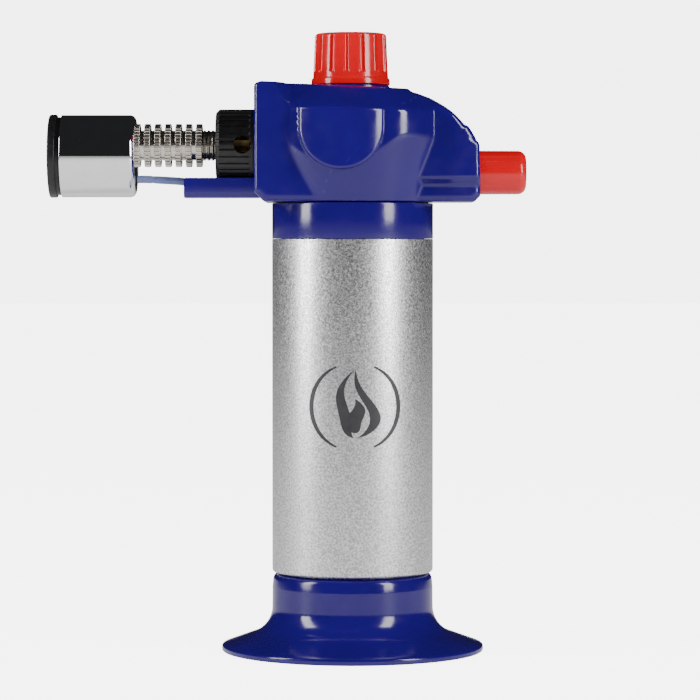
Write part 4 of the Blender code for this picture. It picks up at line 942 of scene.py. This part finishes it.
class TORCH_OT_emblem(bpy.types.Operator):
    """Printed emblem: a plain flame inside a broken ring, lying on the tank."""
    bl_idname = "torch.emblem"
    bl_label = "Emblem"

    def execute(self, context):
        centre = np.array((0.8 * MM, 77.0 * MM))
        t = np.linspace(0.0, 1.0, 97)[:, None]
        s = np.linspace(0.0, 1.0, 9)[None, :]
        for number, (start, end) in ((1, (-0.36, 0.36)), (2, (0.64, 1.36))):
            a = (start + (end - start) * t) * math.pi
            r = (13.2 + 1.5 * s * (0.35 + 0.65 * np.sin(t * math.pi))) * MM
            self.print_patch(f"emblem_ring_{number}", centre, r * np.cos(a), r * np.sin(a))
        outer_flame = (21.0, 6.4, 0.46, 1.6, -9.5)
        inner_flame = (10.5, 3.0, 0.0, -1.2, -8.0)
        for number, (tall, wide, hollow, lean, base) in ((1, outer_flame), (2, inner_flame)):
            width = wide * np.sin(math.pi * np.minimum(t ** 0.62, 1.0)) ** 0.9
            middle = lean * np.sin(TAU * t)
            inner = hollow * width
            for side, letter in ((-1.0, "a"), (1.0, "b")):
                across = middle + side * (inner + (width - inner) * s)
                self.print_patch(f"emblem_flame_{number}{letter}", centre, across * MM,
                                 (base + tall * t + 0.0 * s) * MM)
        return {"FINISHED"}

    def print_patch(self, name, centre, across, up):
        """Wrap a flat patch round the tank: distance across becomes an angle round its axis."""
        film = 0.03 * MM
        angle = (centre[0] + across + 0.0 * up) / TANK_R
        height = centre[1] + up + 0.0 * across
        front, back = (np.stack([AXIS_X + r * np.sin(angle), -r * np.cos(angle), height], axis=-1)
                       for r in (TANK_R + film, TANK_R + film / 3.0))
        sheet = np.concatenate([front, back[:, ::-1]], axis=1)
        rows, columns = sheet.shape[:2]
        here = np.arange(columns // 2 - 1)
        cap = np.stack([here, here + 1, columns - 2 - here, columns - 1 - here], axis=-1)
        last = (rows - 1) * columns
        faces = np.vstack([grid_faces(rows, columns, False, True), cap[:, ::-1], cap + last])
        add_mesh(name, sheet.reshape(-1, 3), faces, "torch", "black_plastic", finish="ink")


class TORCH_OT_stage(bpy.types.Operator):
    """Pale floor, soft studio light and the camera."""
    bl_idname = "torch.stage"
    bl_label = "Stage"

    def execute(self, context):
        self.floor()
        self.world()
        self.lights()
        self.camera(context.scene.torch_sizes.camera_distance)
        return {"FINISHED"}

    def floor(self):
        """Plain floor that the lens sees as white, and that lights the torch only dimly."""
        reach = 6.0
        dim, white = 0.40, 5.6
        corners = [(-reach, -reach, 0.0), (reach, -reach, 0.0), (reach, reach, 0.0), (-reach, reach, 0.0)]
        mesh = bpy.data.meshes.new("floor")
        mesh.from_pydata(corners, [], [(0, 1, 2, 3)])
        floor = put_in_scene("floor", mesh)
        paint = plain_matt("stage_floor", (0.8, 0.8, 0.8), 0.6, 3 * MM)
        tree = paint.node_tree
        glow = add_node(tree, "ShaderNodeEmission")
        path = add_node(tree, "ShaderNodeLightPath")
        level = add_node(tree, "ShaderNodeMapRange", {"To Min": dim, "To Max": white})
        both = add_node(tree, "ShaderNodeAddShader")
        link = tree.links.new
        link(path.outputs["Is Camera Ray"], level.inputs["Value"])
        link(level.outputs["Result"], glow.inputs["Strength"])
        link(tree.nodes["Principled BSDF"].outputs[0], both.inputs[0])
        link(glow.outputs[0], both.inputs[1])
        link(both.outputs[0], tree.nodes["Material Output"].inputs["Surface"])
        mesh.materials.append(paint)

    def world(self):
        """White behind the torch for the lens, and a nearly dark room for the light."""
        dim, white = 0.02, 6.4
        world = bpy.data.worlds.new("studio")
        world.use_nodes = True
        tree = world.node_tree
        room = tree.nodes["Background"]
        set_inputs(room, {"Color": (0.9, 0.95, 1.0, 1.0), "Strength": dim})
        backdrop = add_node(tree, "ShaderNodeBackground", {"Strength": white})
        switch = add_node(tree, "ShaderNodeMixShader")
        path = add_node(tree, "ShaderNodeLightPath")
        link = tree.links.new
        link(path.outputs["Is Camera Ray"], switch.inputs["Fac"])
        link(room.outputs[0], switch.inputs[1])
        link(backdrop.outputs[0], switch.inputs[2])
        link(switch.outputs[0], tree.nodes["World Output"].inputs["Surface"])
        bpy.context.scene.world = world

    def lights(self):
        """Softboxes on both sides of the lens, and a fill above it that reflections leave out."""
        for name, turn in (("left_box", -70.0), ("right_box", 53.0)):
            self.softbox(name, turn, 20.0, 1.2, (0.30, 0.80), 13.0)
        fill = self.softbox("front_fill", -8.0, 58.0, 1.6, (0.9, 0.4), 9.0)
        fill.visible_glossy = False

    def softbox(self, name, turn, height, distance, size, watts):
        """Area light aimed at the torch's middle; turn is counted from the lens, to the right."""
        light = bpy.data.lights.new(name, "AREA")
        light.shape = "RECTANGLE"
        light.size, light.size_y = size
        light.energy = watts
        lamp = put_in_scene(name, light)
        a, e = math.radians(turn), math.radians(height)
        away = np.array((math.sin(a) * math.cos(e), -math.cos(a) * math.cos(e), math.sin(e)))
        target = np.array((AXIS_X, 0.0, 100.0 * MM))
        aim(lamp, away * distance + target, target)
        return lamp

    def camera(self, distance):
        """Long lens a little above the torch's middle, looking slightly down at it."""
        lens = bpy.data.cameras.new("camera")
        lens.lens = 165.4
        lens.sensor_width = 36.0
        lens.clip_end = 50.0
        camera = put_in_scene("camera", lens)
        x, eye_z, target_z = AXIS_X - 0.8 * MM, 126.0 * MM, 93.5 * MM
        aim(camera, (x, -distance, eye_z), (x, 0.0, target_z))
        bpy.context.scene.camera = camera


def aim(thing, place, target):
    """Stand a light or camera at a place, looking at a target with +Z up."""
    thing.location = place
    thing.rotation_euler = (Vector(target) - Vector(place)).to_track_quat("-Z", "Y").to_euler()


# ---- panel and registration --------------------------------------------------------------------------
class TORCH_PT_panel(bpy.types.Panel):
    """Buttons for each group of pieces."""
    bl_idname = "TORCH_PT_panel"
    bl_label = "Butane torch"
    bl_space_type = "VIEW_3D"
    bl_region_type = "UI"
    bl_category = "Torch"

    def draw(self, context):
        for group in (context.scene.torch_sizes, context.scene.torch_colours):
            for key in group.bl_rna.properties.keys():
                if key not in {"rna_type", "name"}:
                    self.layout.prop(group, key)
        for operator in OPERATORS:
            self.layout.operator(operator.bl_idname)


OPERATORS = (TORCH_OT_finishes, TORCH_OT_stand, TORCH_OT_tank, TORCH_OT_head, TORCH_OT_shelf, TORCH_OT_knob,
             TORCH_OT_button, TORCH_OT_collar, TORCH_OT_burner_tube, TORCH_OT_barrel, TORCH_OT_lead,
             TORCH_OT_emblem, TORCH_OT_stage)
CLASSES = (TorchSizes, TorchColours, *OPERATORS, TORCH_PT_panel)


def register():
    """Register the classes, and put the sizes and colours on the scene."""
    for item in CLASSES:
        bpy.utils.register_class(item)
    bpy.types.Scene.torch_sizes = PointerProperty(type=TorchSizes)
    bpy.types.Scene.torch_colours = PointerProperty(type=TorchColours)


def unregister():
    """Undo what register does."""
    del bpy.types.Scene.torch_colours
    del bpy.types.Scene.torch_sizes
    for item in reversed(CLASSES):
        bpy.utils.unregister_class(item)


def main():
    """Register the classes, then run every operator."""
    register()
    for operator in OPERATORS:
        group, name = operator.bl_idname.split(".")
        getattr(getattr(bpy.ops, group), name)()


if __name__ == "__main__":
    main()
